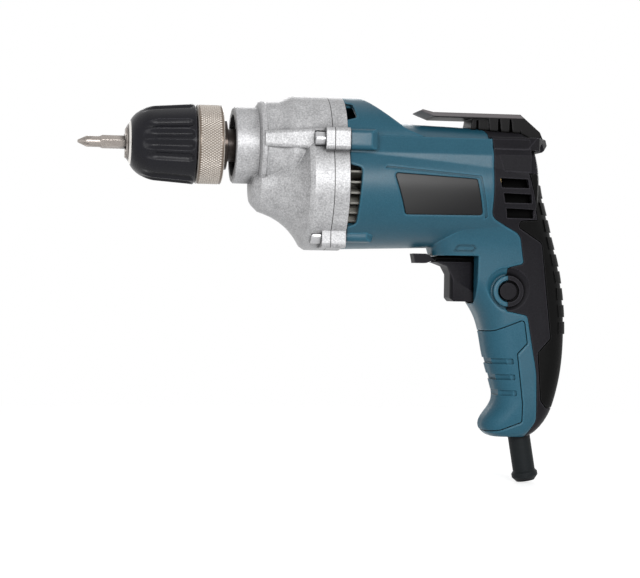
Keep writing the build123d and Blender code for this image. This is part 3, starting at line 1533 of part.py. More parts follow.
nodes["belt_hook_screw"] = hook_screw - Pos(hook_screw_x, 0, screw_top) * driver_cross()

# Cord boot: moulded strain relief with an inner flange and a beaded end
boot = turned_points(
    (-boot_inner, boot_inner_bore_radius),
    (-boot_inner, boot_flange_radius),
    (boot_flange_back, boot_flange_radius),
    (boot_flange_back, boot_radius),
    (boot_length - 6.0, boot_radius),
    (boot_length - 4.6, boot_lip_radius),
    (boot_length - 2.6, boot_lip_radius),
    (boot_length, boot_lip_radius - 2.2),
    (boot_length, boot_bore_radius),
    (boot_bore_start, boot_bore_radius),
    (boot_bore_start, boot_inner_bore_radius),
)
nodes["cord_boot"] = boot_axis * boot

if __name__ == "__main__":
    os.makedirs("parts", exist_ok=True)
    for name, shape in nodes.items():
        export_step(shape, f"parts/{name}.step")
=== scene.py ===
import math

import bmesh
import bpy
from mathutils import Euler, Matrix, Vector
from mathutils.geometry import interpolate_bezier


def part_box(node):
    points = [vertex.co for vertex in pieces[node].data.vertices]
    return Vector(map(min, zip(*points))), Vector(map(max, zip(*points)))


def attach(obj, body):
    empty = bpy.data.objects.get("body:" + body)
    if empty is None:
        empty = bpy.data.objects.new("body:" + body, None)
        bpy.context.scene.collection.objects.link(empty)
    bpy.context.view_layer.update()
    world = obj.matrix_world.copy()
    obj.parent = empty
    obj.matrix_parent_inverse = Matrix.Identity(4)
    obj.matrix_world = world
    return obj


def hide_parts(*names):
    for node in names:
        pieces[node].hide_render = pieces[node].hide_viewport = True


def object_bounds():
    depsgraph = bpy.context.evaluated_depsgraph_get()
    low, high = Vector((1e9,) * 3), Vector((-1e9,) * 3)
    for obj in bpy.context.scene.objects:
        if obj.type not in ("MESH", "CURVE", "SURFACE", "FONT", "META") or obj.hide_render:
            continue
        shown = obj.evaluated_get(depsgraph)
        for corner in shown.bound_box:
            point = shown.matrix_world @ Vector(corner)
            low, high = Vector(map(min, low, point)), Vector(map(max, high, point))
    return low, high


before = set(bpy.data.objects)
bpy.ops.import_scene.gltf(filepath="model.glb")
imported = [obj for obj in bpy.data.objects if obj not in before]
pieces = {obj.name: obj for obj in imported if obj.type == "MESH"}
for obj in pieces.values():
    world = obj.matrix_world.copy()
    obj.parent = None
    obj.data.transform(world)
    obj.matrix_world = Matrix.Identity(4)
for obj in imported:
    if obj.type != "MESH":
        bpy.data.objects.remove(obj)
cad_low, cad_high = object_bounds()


def surface_grain_group():
    """Moulded, cast or ground grain: fine pits over slow unevenness, as a height and a slow shade."""
    group = bpy.data.node_groups.new("surface_grain", "ShaderNodeTree")
    face = group.interface
    face.new_socket("Vector", in_out="INPUT", socket_type="NodeSocketVector")
    for label, value in (("Fine Scale", 2500.0), ("Slow Scale", 90.0), ("Slow Share", 0.35)):
        socket = face.new_socket(label, in_out="INPUT", socket_type="NodeSocketFloat")
        socket.default_value = value
    face.new_socket("Height", in_out="OUTPUT", socket_type="NodeSocketFloat")
    face.new_socket("Shade", in_out="OUTPUT", socket_type="NodeSocketFloat")
    entry = group.nodes.new("NodeGroupInput")
    leave = group.nodes.new("NodeGroupOutput")
    fine = group.nodes.new("ShaderNodeTexNoise")
    fine.inputs["Detail"].default_value = 3.0
    slow = group.nodes.new("ShaderNodeTexNoise")
    slow.inputs["Detail"].default_value = 4.0
    blend = group.nodes.new("ShaderNodeMix")
    group.links.new(entry.outputs["Vector"], fine.inputs["Vector"])
    group.links.new(entry.outputs["Vector"], slow.inputs["Vector"])
    group.links.new(entry.outputs["Fine Scale"], fine.inputs["Scale"])
    group.links.new(entry.outputs["Slow Scale"], slow.inputs["Scale"])
    group.links.new(entry.outputs["Slow Share"], blend.inputs["Factor"])
    group.links.new(fine.outputs["Fac"], blend.inputs["A"])
    group.links.new(slow.outputs["Fac"], blend.inputs["B"])
    group.links.new(blend.outputs["Result"], leave.inputs["Height"])
    group.links.new(slow.outputs["Fac"], leave.inputs["Shade"])
    return group


def soft_edge_group():
    """The small round on every edge, as a normal, with masks for a painted highlight on free edges and painted shade
    in corners and seams.
    """
    group = bpy.data.node_groups.new("soft_edges", "ShaderNodeTree")
    face = group.interface
    for label, value in (("Round", 0.0005), ("Corner Reach", 0.0025)):
        socket = face.new_socket(label, in_out="INPUT", socket_type="NodeSocketFloat")
        socket.default_value = value
    face.new_socket("Normal", in_out="OUTPUT", socket_type="NodeSocketVector")
    face.new_socket("Edge", in_out="OUTPUT", socket_type="NodeSocketFloat")
    face.new_socket("Corner", in_out="OUTPUT", socket_type="NodeSocketFloat")
    entry = group.nodes.new("NodeGroupInput")
    leave = group.nodes.new("NodeGroupOutput")
    rounded = group.nodes.new("ShaderNodeBevel")
    rounded.samples = 6
    group.links.new(entry.outputs["Round"], rounded.inputs["Radius"])
    group.links.new(rounded.outputs["Normal"], leave.inputs["Normal"])
    plain = group.nodes.new("ShaderNodeNewGeometry")
    turn = group.nodes.new("ShaderNodeVectorMath")
    turn.operation = "DOT_PRODUCT"
    group.links.new(rounded.outputs["Normal"], turn.inputs[0])
    group.links.new(plain.outputs["Normal"], turn.inputs[1])
    bent = group.nodes.new("ShaderNodeMapRange")
    bent.inputs["From Min"].default_value = 0.995
    bent.inputs["From Max"].default_value = 0.9
    group.links.new(turn.outputs["Value"], bent.inputs["Value"])
    openness = group.nodes.new("ShaderNodeAmbientOcclusion")
    openness.samples = 6
    group.links.new(entry.outputs["Corner Reach"], openness.inputs["Distance"])
    group.links.new(rounded.outputs["Normal"], openness.inputs["Normal"])
    free = group.nodes.new("ShaderNodeMapRange")
    free.inputs["From Min"].default_value = 0.75
    free.inputs["From Max"].default_value = 0.97
    group.links.new(openness.outputs["AO"], free.inputs["Value"])
    edge = group.nodes.new("ShaderNodeMath")
    edge.operation = "MULTIPLY"
    group.links.new(bent.outputs["Result"], edge.inputs[0])
    group.links.new(free.outputs["Result"], edge.inputs[1])
    group.links.new(edge.outputs["Value"], leave.inputs["Edge"])
    corner = group.nodes.new("ShaderNodeMapRange")
    corner.inputs["From Min"].default_value = 0.96
    corner.inputs["From Max"].default_value = 0.5
    group.links.new(openness.outputs["AO"], corner.inputs["Value"])
    group.links.new(corner.outputs["Result"], leave.inputs["Corner"])
    return group


surface_grain = surface_grain_group()
soft_edges = soft_edge_group()


def finish(name, dark, pale, roughness, metallic=0.0, fine=2000, slow=70, height=0.00004, share=0.3, gloss=0.5,
           edge=1.6, corner=0.45, edge_round=0.0005, reach=0.0025, swing=0.08):
    """A material whose colour, roughness and surface carry grain, with a painted highlight on its edges and painted
    shade in its corners.

    The grain runs from dark to pale, with fine and slow scales, the slow one's share, and a height in metres.
    edge and corner multiply the colour for the painted highlight on edges and the painted shade in corners,
    edge_round and reach are their widths, and the roughness varies by swing to either side."""
    palest_edge = 0.95
    edge_lift = 0.004
    material = bpy.data.materials.new(name)
    material.use_nodes = True
    tree = material.node_tree
    shader = tree.nodes["Principled BSDF"]
    shader.inputs["Metallic"].default_value = metallic
    shader.inputs["Specular IOR Level"].default_value = gloss
    place = tree.nodes.new("ShaderNodeTexCoord")
    grain = tree.nodes.new("ShaderNodeGroup")
    grain.node_tree = surface_grain
    grain.inputs["Fine Scale"].default_value = fine
    grain.inputs["Slow Scale"].default_value = slow
    grain.inputs["Slow Share"].default_value = share
    tree.links.new(place.outputs["Object"], grain.inputs["Vector"])
    edges = tree.nodes.new("ShaderNodeGroup")
    edges.node_tree = soft_edges
    edges.inputs["Round"].default_value = edge_round
    edges.inputs["Corner Reach"].default_value = reach
    ramp = tree.nodes.new("ShaderNodeValToRGB")
    ramp.color_ramp.elements[0].position = 0.3
    ramp.color_ramp.elements[0].color = (*dark, 1)
    ramp.color_ramp.elements[1].position = 0.7
    ramp.color_ramp.elements[1].color = (*pale, 1)
    tree.links.new(grain.outputs["Height"], ramp.inputs["Fac"])
    # Painted highlight: the colour turns paler on free edges.
    edge_highlight = tree.nodes.new("ShaderNodeMix")
    edge_highlight.data_type = "RGBA"
    edge_highlight.inputs["B"].default_value = (*[min(palest_edge, part * edge + edge_lift) for part in pale], 1)
    tree.links.new(edges.outputs["Edge"], edge_highlight.inputs["Factor"])
    tree.links.new(ramp.outputs["Color"], edge_highlight.inputs["A"])
    # Painted shade: the colour turns darker in corners and seams.
    shaded = tree.nodes.new("ShaderNodeMix")
    shaded.data_type = "RGBA"
    shaded.inputs["B"].default_value = (*[part * corner for part in dark], 1)
    tree.links.new(edges.outputs["Corner"], shaded.inputs["Factor"])
    tree.links.new(edge_highlight.outputs["Result"], shaded.inputs["A"])
    tree.links.new(shaded.outputs["Result"], shader.inputs["Base Color"])
    rough = tree.nodes.new("ShaderNodeMapRange")
    rough.inputs["To Min"].default_value = roughness - swing
    rough.inputs["To Max"].default_value = roughness + swing
    tree.links.new(grain.outputs["Shade"], rough.inputs["Value"])
    tree.links.new(rough.outputs["Result"], shader.inputs["Roughness"])
    bump = tree.nodes.new("ShaderNodeBump")
    bump.inputs["Strength"].default_value = 1.0
    bump.inputs["Distance"].default_value = height
    tree.links.new(grain.outputs["Height"], bump.inputs["Height"])
    tree.links.new(edges.outputs["Normal"], bump.inputs["Normal"])
    tree.links.new(bump.outputs["Normal"], shader.inputs["Normal"])
    return material


def wear(material, *names):
    """Gives a finish to CAD pieces."""
    for name in names:
        piece = pieces[name]
        piece.data.materials.clear()
        piece.data.materials.append(material)


copper = finish(
    "enamelled_copper", dark=(0.35, 0.12, 0.05), pale=(0.62, 0.26, 0.11),
    roughness=0.35, metallic=0.9, fine=900, slow=120, height=0.00006,
)
steel_stack = finish(
    "stacked_steel", dark=(0.16, 0.16, 0.17), pale=(0.3, 0.3, 0.31),
    roughness=0.45, metallic=0.9, fine=1600, slow=60,
)
ground_steel = finish(
    "ground_steel", dark=(0.36, 0.36, 0.37), pale=(0.5, 0.5, 0.51),
    roughness=0.3, metallic=1.0, fine=2200, height=0.00002,
)
wear(copper, "armature_windings", "commutator")
wear(steel_stack, "armature_core")
wear(ground_steel, "armature_shaft", "armature_front_bearing", "armature_rear_bearing")

# Field: a ring of stacked steel sheets held by ribs in the barrel, with a copper coil round each of its two poles.
# The coils are wound first and slipped over the poles. The stack and the wire are the armature's.
wear(steel_stack, "field_core")
wear(copper, "field_coils")

# Brush gear: a black moulded carrier with the tail bearing's cup, two brass tubes, and a carbon brush in each,
# pressed on the commutator by a coil spring.
black_inner = finish(
    "black_inner_moulding", dark=(0.012, 0.012, 0.013), pale=(0.022, 0.022, 0.024), roughness=0.5, gloss=0.3
)
brass = finish(
    "stamped_brass", dark=(0.26, 0.18, 0.07), pale=(0.42, 0.31, 0.14),
    roughness=0.42, metallic=0.95, fine=2400, slow=80, height=0.00002,
)
carbon = finish(
    "pressed_carbon", dark=(0.016, 0.016, 0.017), pale=(0.034, 0.034, 0.036),
    roughness=0.6, fine=1800, slow=60, gloss=0.3,
)
wear(black_inner, "brush_carrier")
wear(brass, "brush_holders")
wear(carbon, "carbon_brushes")
wear(ground_steel, "brush_springs")

# Fan and air ring: pale mouldings on the armature shaft and in the barrel's front. The fan's blades show in the
# vents beside the gear case.
pale_moulding = finish(
    "pale_moulding", dark=(0.3, 0.29, 0.26), pale=(0.42, 0.41, 0.37),
    roughness=0.5, fine=1800, slow=60, height=0.00003, gloss=0.35,
)
wear(pale_moulding, "fan", "fan_baffle")

# Gear train: hobbed steel gears on ground shafts, in bronze bushes and one ball bearing, packed in grease.
# The spindle is dark where it comes out behind the chuck, and so is the seal of the bearing there.
bronze = finish(
    "sintered_bronze", dark=(0.38, 0.24, 0.11), pale=(0.55, 0.37, 0.18),
    roughness=0.42, metallic=0.9, fine=2400, slow=80,
)
bearing_seal = finish(
    "bearing_seal", dark=(0.012, 0.011, 0.01), pale=(0.022, 0.02, 0.018),
    roughness=0.5, fine=1800, slow=60, gloss=0.15,
)
dark_spindle_steel = finish(
    "dark_spindle_steel", dark=(0.022, 0.016, 0.013), pale=(0.05, 0.036, 0.03),
    roughness=0.35, metallic=0.5, fine=2200, height=0.00002,
)
wear(dark_spindle_steel, "spindle")
wear(ground_steel, "spindle_gear", "countershaft", "countershaft_gear")
wear(bearing_seal, "spindle_front_bearing")
wear(bronze, "spindle_rear_bearing", "countershaft_front_bearing", "countershaft_rear_bearing")

# Gear case and its plate: aluminium die castings, blasted to a bright open grain, with a painted highlight on their
# crisp edges and wide painted shade in their corners.
# The plate closes the case along a thin dark joint, and both are held to the barrel by the same four screws.


def along(material, direction, start, end, middle=0.0, folded=False):
    """A factor that goes from 0 to 1 along a direction in the piece, or on both sides of a middle."""
    tree = material.node_tree
    place = tree.nodes.new("ShaderNodeTexCoord")
    reach = tree.nodes.new("ShaderNodeVectorMath")
    reach.operation = "DOT_PRODUCT"
    reach.inputs[1].default_value = direction
    tree.links.new(place.outputs["Object"], reach.inputs[0])
    offset = tree.nodes.new("ShaderNodeMath")
    offset.operation = "SUBTRACT"
    offset.inputs[1].default_value = middle
    tree.links.new(reach.outputs["Value"], offset.inputs[0])
    source = offset
    if folded:
        source = tree.nodes.new("ShaderNodeMath")
        source.operation = "ABSOLUTE"
        tree.links.new(offset.outputs["Value"], source.inputs[0])
    factor = tree.nodes.new("ShaderNodeMapRange")
    factor.interpolation_type = "SMOOTHSTEP"
    factor.inputs["From Min"].default_value = start
    factor.inputs["From Max"].default_value = end
    tree.links.new(source.outputs["Value"], factor.inputs["Value"])
    return factor.outputs["Result"]


def tint(material, factor, colour):
    """Lays a second colour over a finish where a factor is 1."""
    tree = material.node_tree
    target = tree.nodes["Principled BSDF"].inputs["Base Color"]
    over = tree.nodes.new("ShaderNodeMix")
    over.data_type = "RGBA"
    over.inputs["B"].default_value = (*colour, 1)
    tree.links.new(factor, over.inputs["Factor"])
    tree.links.new(target.links[0].from_socket, over.inputs["A"])
    tree.links.new(over.outputs["Result"], target)


cast_aluminium = finish(
    "cast_aluminium", dark=(0.3, 0.3, 0.31), pale=(0.72, 0.72, 0.73),
    roughness=0.42, metallic=0.25, fine=1150, slow=150, height=0.00016,
    edge=1.12, corner=0.16, edge_round=0.0007, reach=0.009,
)
tool_axis = (1, 0, 0)
joint_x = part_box("gear_case_plate")[0].x
joint_outside = 0.00032
joint_inside = 0.00012
joint_grime = (0.06, 0.06, 0.06)
tint(cast_aluminium, along(cast_aluminium, tool_axis, joint_outside, joint_inside, joint_x, True), joint_grime)
wear(cast_aluminium, "gear_case", "gear_case_plate")

# Gear case screws: four zinc-plated screws with domed pan heads and cross recesses, driven in from the front.
# The heads fill the round seats in the case's ears.
zinc = finish(
    "zinc_plate", dark=(0.42, 0.42, 0.43), pale=(0.58, 0.58, 0.59),
    roughness=0.3, metallic=0.7, fine=2600, slow=90, height=0.00002, edge=1.3, corner=0.7,
)
weld = 0.000001
near = 0.0001


def placed(name, shape, material):
    """Makes a finished shape an object that wears one material."""
    mesh = bpy.data.meshes.new(name)
    shape.to_mesh(mesh)
    shape.free()
    mesh.materials.append(material)
    piece = bpy.data.objects.new(name, mesh)
    bpy.context.scene.collection.objects.link(piece)
    return piece


upper_screw = Vector((0.0295, 0.0024))
lower_screw = Vector((0.019, -0.0494))
screw_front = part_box("gear_case_screws")[0].x
head_height = 0.0032
head_rise = 0.0023
head_radius = 0.004
head_dome = 0.0011
screw_seat = screw_front + head_height
screw_shape = bmesh.new()
screw_shape.from_mesh(pieces["gear_case_screws"].data)
bmesh.ops.remove_doubles(screw_shape, verts=screw_shape.verts, dist=weld)
head_rims = []
for rim in screw_shape.edges:
    in_front = all(corner.co.x < screw_front + near for corner in rim.verts)
    ends = [Vector((abs(corner.co.y), corner.co.z)) for corner in rim.verts]
    from_axis = [min((end - upper_screw).length, (end - lower_screw).length) for end in ends]
    if in_front and min(from_axis) > head_radius - near:
        head_rims.append(rim)
head_stretch = (head_height + head_rise) / head_height
for corner in screw_shape.verts:
    if corner.co.x < screw_seat:
        corner.co.x = screw_seat - (screw_seat - corner.co.x) * head_stretch
bmesh.ops.bevel(
    screw_shape, geom=head_rims, offset=head_dome, segments=3, profile=0.5,
    affect="EDGES", material=-1, clamp_overlap=True,
)
bmesh.ops.recalc_face_normals(screw_shape, faces=screw_shape.faces)
case_screws = placed("case_screws", screw_shape, zinc)
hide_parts("gear_case_screws")
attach(case_screws, "tool_body")

# Motor housing: teal moulding of the barrel and the front half of the handle, with a fine spark-eroded grain
# that catches the light, and soft rounds on all its edges. A small raised outline, moulded with it, points along
# the tool above the trigger.
teal = finish(
    "teal_moulding", dark=(0.009, 0.083, 0.131), pale=(0.021, 0.114, 0.172),
    roughness=0.36, fine=1500, height=0.00009, share=0.25, gloss=0.38,
    edge=1.9, corner=0.12, edge_round=0.002, reach=0.002,
)
wear(teal, "motor_housing")
mark_outline = ((0.1209, -0.0561), (0.1314, -0.0561), (0.1332, -0.0543), (0.1318, -0.0527), (0.1228, -0.0527))
mark_line = 0.0005
mark_rise = 0.00025
mark_cuts = 5
beside_housing = -0.06
mark_shape = bmesh.new()
mark_face = mark_shape.faces.new([mark_shape.verts.new((across, 0, up)) for across, up in mark_outline])
mark_shape.normal_update()
bmesh.ops.inset_individual(mark_shape, faces=[mark_face], thickness=mark_line, use_even_offset=True)
bmesh.ops.delete(mark_shape, geom=[mark_face], context="FACES_ONLY")
bmesh.ops.subdivide_edges(mark_shape, edges=mark_shape.edges[:], cuts=mark_cuts, use_grid_fill=True)
bpy.context.view_layer.update()
for corner in mark_shape.verts:
    spot = pieces["motor_housing"].ray_cast((corner.co.x, beside_housing, corner.co.z), (0, 1, 0))[1]
    corner.co.y = spot.y - mark_rise
mark_shape.normal_update()
bmesh.ops.solidify(mark_shape, geom=mark_shape.faces[:], thickness=2 * mark_rise)
bmesh.ops.recalc_face_normals(mark_shape, faces=mark_shape.faces)
direction_mark = placed("direction_mark", mark_shape, teal)
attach(direction_mark, "tool_body")

# Front grip pad: soft teal panel with finger grooves, duller than the housing. It is moulded over a shallow pocket
# in the front of the handle, which leaves a fine line all round it.
teal_soft = finish(
    "soft_teal", dark=(0.024, 0.108, 0.163), pale=(0.042, 0.144, 0.21),
    roughness=0.46, fine=1500, slow=60, height=0.00005, share=0.25, gloss=0.16,
    edge=1.6, corner=0.45, edge_round=0.0009, reach=0.0012,
)
wear(teal_soft, "front_grip_pad")

# Side plate: thin bare plate let into a shallow pocket on the barrel's left side and stuck down, with a smooth
# lacquer.
# Its colour fades from grey at the upper front corner to black towards the lower back.
plate_black = finish(
    "plate_black", dark=(0.012, 0.012, 0.013), pale=(0.018, 0.018, 0.019),
    roughness=0.3, fine=3000, slow=40, height=0.00001, gloss=0.16,
)
plate_grey = (0.075, 0.075, 0.075)
plate_low, plate_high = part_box("side_plate")
fade_way = Vector((-0.35, 0.0, 0.94))
fade_low = fade_way.dot((plate_high.x, 0, plate_low.z))
fade_high = fade_way.dot((plate_low.x, 0, plate_high.z))
tint(plate_black, along(plate_black, fade_way, fade_low, fade_high), plate_grey)
wear(plate_black, "side_plate")

# Switch and its trigger, reversing lever and lock button: black mouldings with a satin face, on coil springs.
# The trigger's left rear edge is eased where it passes the lock button's spring. Thin near-black strips on the
# trigger's top and in the throat above the lever are painted shade that closes the gap between them.
black = finish(
    "black_moulding", dark=(0.012, 0.0115, 0.0135), pale=(0.023, 0.022, 0.026),
    roughness=0.42, fine=1800, slow=80, height=0.00006, share=0.25, gloss=0.055,
    edge=3.4, corner=0.08, edge_round=0.001,
)
wear(black_inner, "switch_body")
wear(black, "reverse_lever", "lock_button")
wear(ground_steel, "trigger_spring", "lock_spring")


def smooth_below(piece, degrees):
    """Shades a piece smooth, apart from the edges that turn by more than an angle."""
    piece.data.shade_smooth()
    piece.data.set_sharp_from_angle(angle=math.radians(degrees))


trigger_low, trigger_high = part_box("trigger")
trigger_back = 0.143
trigger_relief = 0.0004
trigger_shape = bmesh.new()
trigger_shape.from_mesh(pieces["trigger"].data)
bmesh.ops.remove_doubles(trigger_shape, verts=trigger_shape.verts, dist=weld)
for corner in trigger_shape.verts:
    if abs(corner.co.x - trigger_back) < near and corner.co.y < trigger_low.y + near:
        corner.co.y += trigger_relief
bmesh.ops.recalc_face_normals(trigger_shape, faces=trigger_shape.faces)
relieved_trigger = placed("relieved_trigger", trigger_shape, black)
smooth_below(relieved_trigger, degrees=30)
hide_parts("trigger")
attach(relieved_trigger, "trigger")
# Near-black strips in the gap under the housing are painted shade.
gap_shade_black = finish(
    "gap_shade_strips", dark=(0.003, 0.003, 0.003), pale=(0.007, 0.007, 0.007),
    roughness=0.8, fine=1200, slow=60, gloss=0.0,
)


def block(shape, span, centre):
    """Adds a square-edged block of a size at a place to a shape."""
    corners = bmesh.ops.create_cube(shape, size=1.0)["verts"]
    bmesh.ops.scale(shape, verts=corners, vec=span)
    bmesh.ops.translate(shape, verts=corners, vec=centre)


trigger_strip_lift = 0.0003
trigger_strip_span = Vector((0.0286, 0.0152, 0.0012))
trigger_strip_centre = Vector((0.1285, 0.0, trigger_high.z + trigger_strip_lift))
throat_strip_span = Vector((0.0166, 0.026, 0.00026))
throat_strip_centre = Vector((0.1255, 0.0, -0.05853))
trigger_strip_shape = bmesh.new()
block(trigger_strip_shape, trigger_strip_span, trigger_strip_centre)
trigger_shade_strip = placed("trigger_shade_strip", trigger_strip_shape, gap_shade_black)
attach(trigger_shade_strip, "trigger")
throat_strip_shape = bmesh.new()
block(throat_strip_shape, throat_strip_span, throat_strip_centre)
throat_shade_strip = placed("throat_shade_strip", throat_strip_shape, gap_shade_black)
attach(throat_shade_strip, "tool_body")

# Mains parts in the handle: a pale block capacitor, and a black bar with two screws that clamps the cord.
# Both are hidden behind the cover.
wear(pale_moulding, "suppressor_capacitor")
wear(black_inner, "cord_clamp")
wear(zinc, "cord_clamp_screws")

# Handle cover and belt hook: satin black mouldings, screwed on from behind and from above. A thin near-black wall
# stands inside the cover's slots as painted shade in front of the brush gear. The hook's edges are rounder, and a
# paler grey along its top is a painted highlight.
hook_black = finish(
    "hook_black", dark=(0.008, 0.0076, 0.008), pale=(0.014, 0.0135, 0.014),
    roughness=0.4, fine=1800, slow=80, share=0.25, gloss=0.06,
    edge=5.0, corner=0.12, edge_round=0.0014,
)
# A paler grey along the hook's top edge is a painted highlight.
top_highlight_grey = (0.19, 0.175, 0.179)
top_highlight_from = 0.0182
top_highlight_to = 0.0188
tint(hook_black, along(hook_black, (0, 0, 1), top_highlight_from, top_highlight_to), top_highlight_grey)
wear(black, "handle_cover")
# A near-black sheet behind each side's slots is painted shade that keeps them dark.
shade_sheet_black = finish(
    "shade_sheet_black", dark=(0.002, 0.002, 0.002), pale=(0.004, 0.004, 0.004), roughness=0.6, gloss=0.02
)
shade_sheet_span = Vector((0.017, 0.0008, 0.0242))
shade_sheet_centre = Vector((0.1556, 0.0222, -0.0268))
other_side = Vector((1, -1, 1))
shade_sheet_shape = bmesh.new()
block(shade_sheet_shape, shade_sheet_span, shade_sheet_centre * other_side)
block(shade_sheet_shape, shade_sheet_span, shade_sheet_centre)
vent_shade_sheets = placed("vent_shade_sheets", shade_sheet_shape, shade_sheet_black)
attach(vent_shade_sheets, "tool_body")
wear(hook_black, "belt_hook")
wear(zinc, "handle_cover_screws", "belt_hook_screw")

# Grip rubber and cord boot: soft black rubber, dull, with a slightly dusty grain. The ribbed grip is moulded into a
# pocket down the back of the cover, and the boot is pinched between the cover and the housing.
rubber = finish(
    "black_rubber", dark=(0.005, 0.005, 0.005), pale=(0.01, 0.01, 0.01),
    roughness=0.48, fine=1900, slow=50, height=0.00006, gloss=0.04,
    edge=4.5, corner=0.2, edge_round=0.0006,
)
boot_rubber = finish(
    "boot_rubber", dark=(0.01, 0.012, 0.013), pale=(0.017, 0.02, 0.022),
    roughness=0.5, fine=1900, slow=50, gloss=0.1, edge=1.8,
)
wear(rubber, "grip_rubber")
wear(boot_rubber, "cord_boot")

# Chuck body and jaws: turned steel with a polished nose, screwed on the spindle, with three leaning jaws.
# A painted highlight runs round the nose as a bright band, behind a thin dark ring that is a painted reflection, and
# the body's colour darkens to brown towards the back.
polished = finish(
    "polished_steel", dark=(0.26, 0.235, 0.215), pale=(0.4, 0.37, 0.345),
    roughness=0.2, metallic=0.8, fine=2600, slow=60, height=0.00001, edge=2.2, corner=0.3,
)
back_dark_from = -0.05
back_dark_to = -0.04
back_dark_brown = (0.03, 0.023, 0.019)
nose_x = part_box("chuck_body")[0].x
band_x = nose_x + 0.002
band_outside = 0.0006
band_inside = 0.0004
band_highlight = (0.9, 0.87, 0.83)
dark_ring_x = nose_x + 0.0011
dark_ring_outside = 0.0003
dark_ring_inside = 0.0001
dark_ring_reflection = (0.05, 0.045, 0.04)
# The body's colour darkens to a deep brown towards the back.
tint(polished, along(polished, tool_axis, back_dark_from, back_dark_to), back_dark_brown)
# Painted highlight round the nose, and in front of it a thin ring of painted dark reflection.
tint(polished, along(polished, tool_axis, band_outside, band_inside, band_x, True), band_highlight)
tint(polished, along(polished, tool_axis, dark_ring_outside, dark_ring_inside, dark_ring_x, True), dark_ring_reflection)
wear(polished, "chuck_body", "chuck_jaw_1", "chuck_jaw_2", "chuck_jaw_3")
wear(ground_steel, "chuck_nut", "chuck_screw")

# Chuck ring: nickel-plated steel ring pressed on the body behind the sleeve, with a diamond knurl rolled between
# two turned edges.
knurl_columns = 180
knurl_rows = 11
knurl_depth = 0.00045
knurl_shoulder = 0.0004
ring_low, ring_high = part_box("chuck_ring")
ring_radius = ring_high.z
ring_bore = 0.0136
ring_edge = 0.0007
ring_back_edge = 0.0005
knurl_front = ring_low.x + ring_edge + knurl_shoulder
knurl_back = ring_high.x - ring_back_edge - knurl_shoulder


def closed_outline(shape, corners):
    """Joins corners into a closed line and returns its sides, each from one corner to the next."""
    points = [shape.verts.new(corner) for corner in corners]
    return [shape.edges.new((points[k], points[(k + 1) % len(points)])) for k in range(len(points))]


def turned(shape, columns):
    """Spins an outline once round the tool's axis, in equal columns, and closes it."""
    bmesh.ops.spin(
        shape, geom=shape.verts[:] + shape.edges[:], axis=tool_axis, cent=(0, 0, 0),
        angle=2 * math.pi, steps=columns, use_merge=True,
    )
    bmesh.ops.remove_doubles(shape, verts=shape.verts, dist=weld)


ring_shape = bmesh.new()
peak = ring_shape.verts.layers.float.new("peak")
ring_corners = [
    Vector((ring_low.x, 0, ring_bore)),
    Vector((ring_low.x, 0, ring_radius - ring_edge)),
    Vector((ring_low.x + ring_edge, 0, ring_radius)),
    Vector((knurl_front, 0, ring_radius - knurl_depth)),
    Vector((knurl_back, 0, ring_radius - knurl_depth)),
    Vector((ring_high.x - ring_back_edge, 0, ring_radius)),
    Vector((ring_high.x, 0, ring_radius - ring_back_edge)),
    Vector((ring_high.x, 0, ring_bore)),
]
knurled_side = 3
ring_sides = closed_outline(ring_shape, ring_corners)
bmesh.ops.subdivide_edges(ring_shape, edges=[ring_sides[knurled_side]], cuts=knurl_rows - 1)
turned(ring_shape, knurl_columns)
row_pitch = (knurl_back - knurl_front) / knurl_rows
peak_reach = ring_radius / (ring_radius - knurl_depth)
valleys = []
for corner in ring_shape.verts:
    row = round((corner.co.x - knurl_front) / row_pitch)
    if math.hypot(corner.co.y, corner.co.z) > ring_radius - 2 * knurl_depth and 0 <= row <= knurl_rows:
        column = round(math.atan2(corner.co.y, corner.co.z) / (2 * math.pi) * knurl_columns)
        if (row + column) % 2 and 0 < row < knurl_rows:
            corner.co.y *= peak_reach
            corner.co.z *= peak_reach
            corner[peak] = 1.0
        elif corner.co.x > knurl_front - near:
            valleys.append(corner)
    else:
        corner[peak] = 1.0
bmesh.ops.connect_verts(ring_shape, verts=valleys)
bmesh.ops.recalc_face_normals(ring_shape, faces=ring_shape.faces)
nickel = finish(
    "nickel_plate", dark=(0.74, 0.67, 0.6), pale=(0.92, 0.85, 0.77),
    roughness=0.3, metallic=0.2, fine=2600, slow=60, height=0.00001,
    edge=1.3, corner=0.3, edge_round=0.0001,
)
# The knurl's valleys are tinted brown as painted shade.
valley_shade_brown = (0.2, 0.155, 0.12)
knurl_height = nickel.node_tree.nodes.new("ShaderNodeAttribute")
knurl_height.attribute_name = "peak"
knurl_valley_shade = nickel.node_tree.nodes.new("ShaderNodeMapRange")
knurl_valley_shade.inputs["From Min"].default_value = 0.4
knurl_valley_shade.inputs["From Max"].default_value = 0.0
nickel.node_tree.links.new(knurl_height.outputs["Fac"], knurl_valley_shade.inputs["Value"])
tint(nickel, knurl_valley_shade.outputs["Result"], valley_shade_brown)
knurled_ring = placed("knurled_ring", ring_shape, nickel)
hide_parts("chuck_ring")
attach(knurled_ring, "spindle")

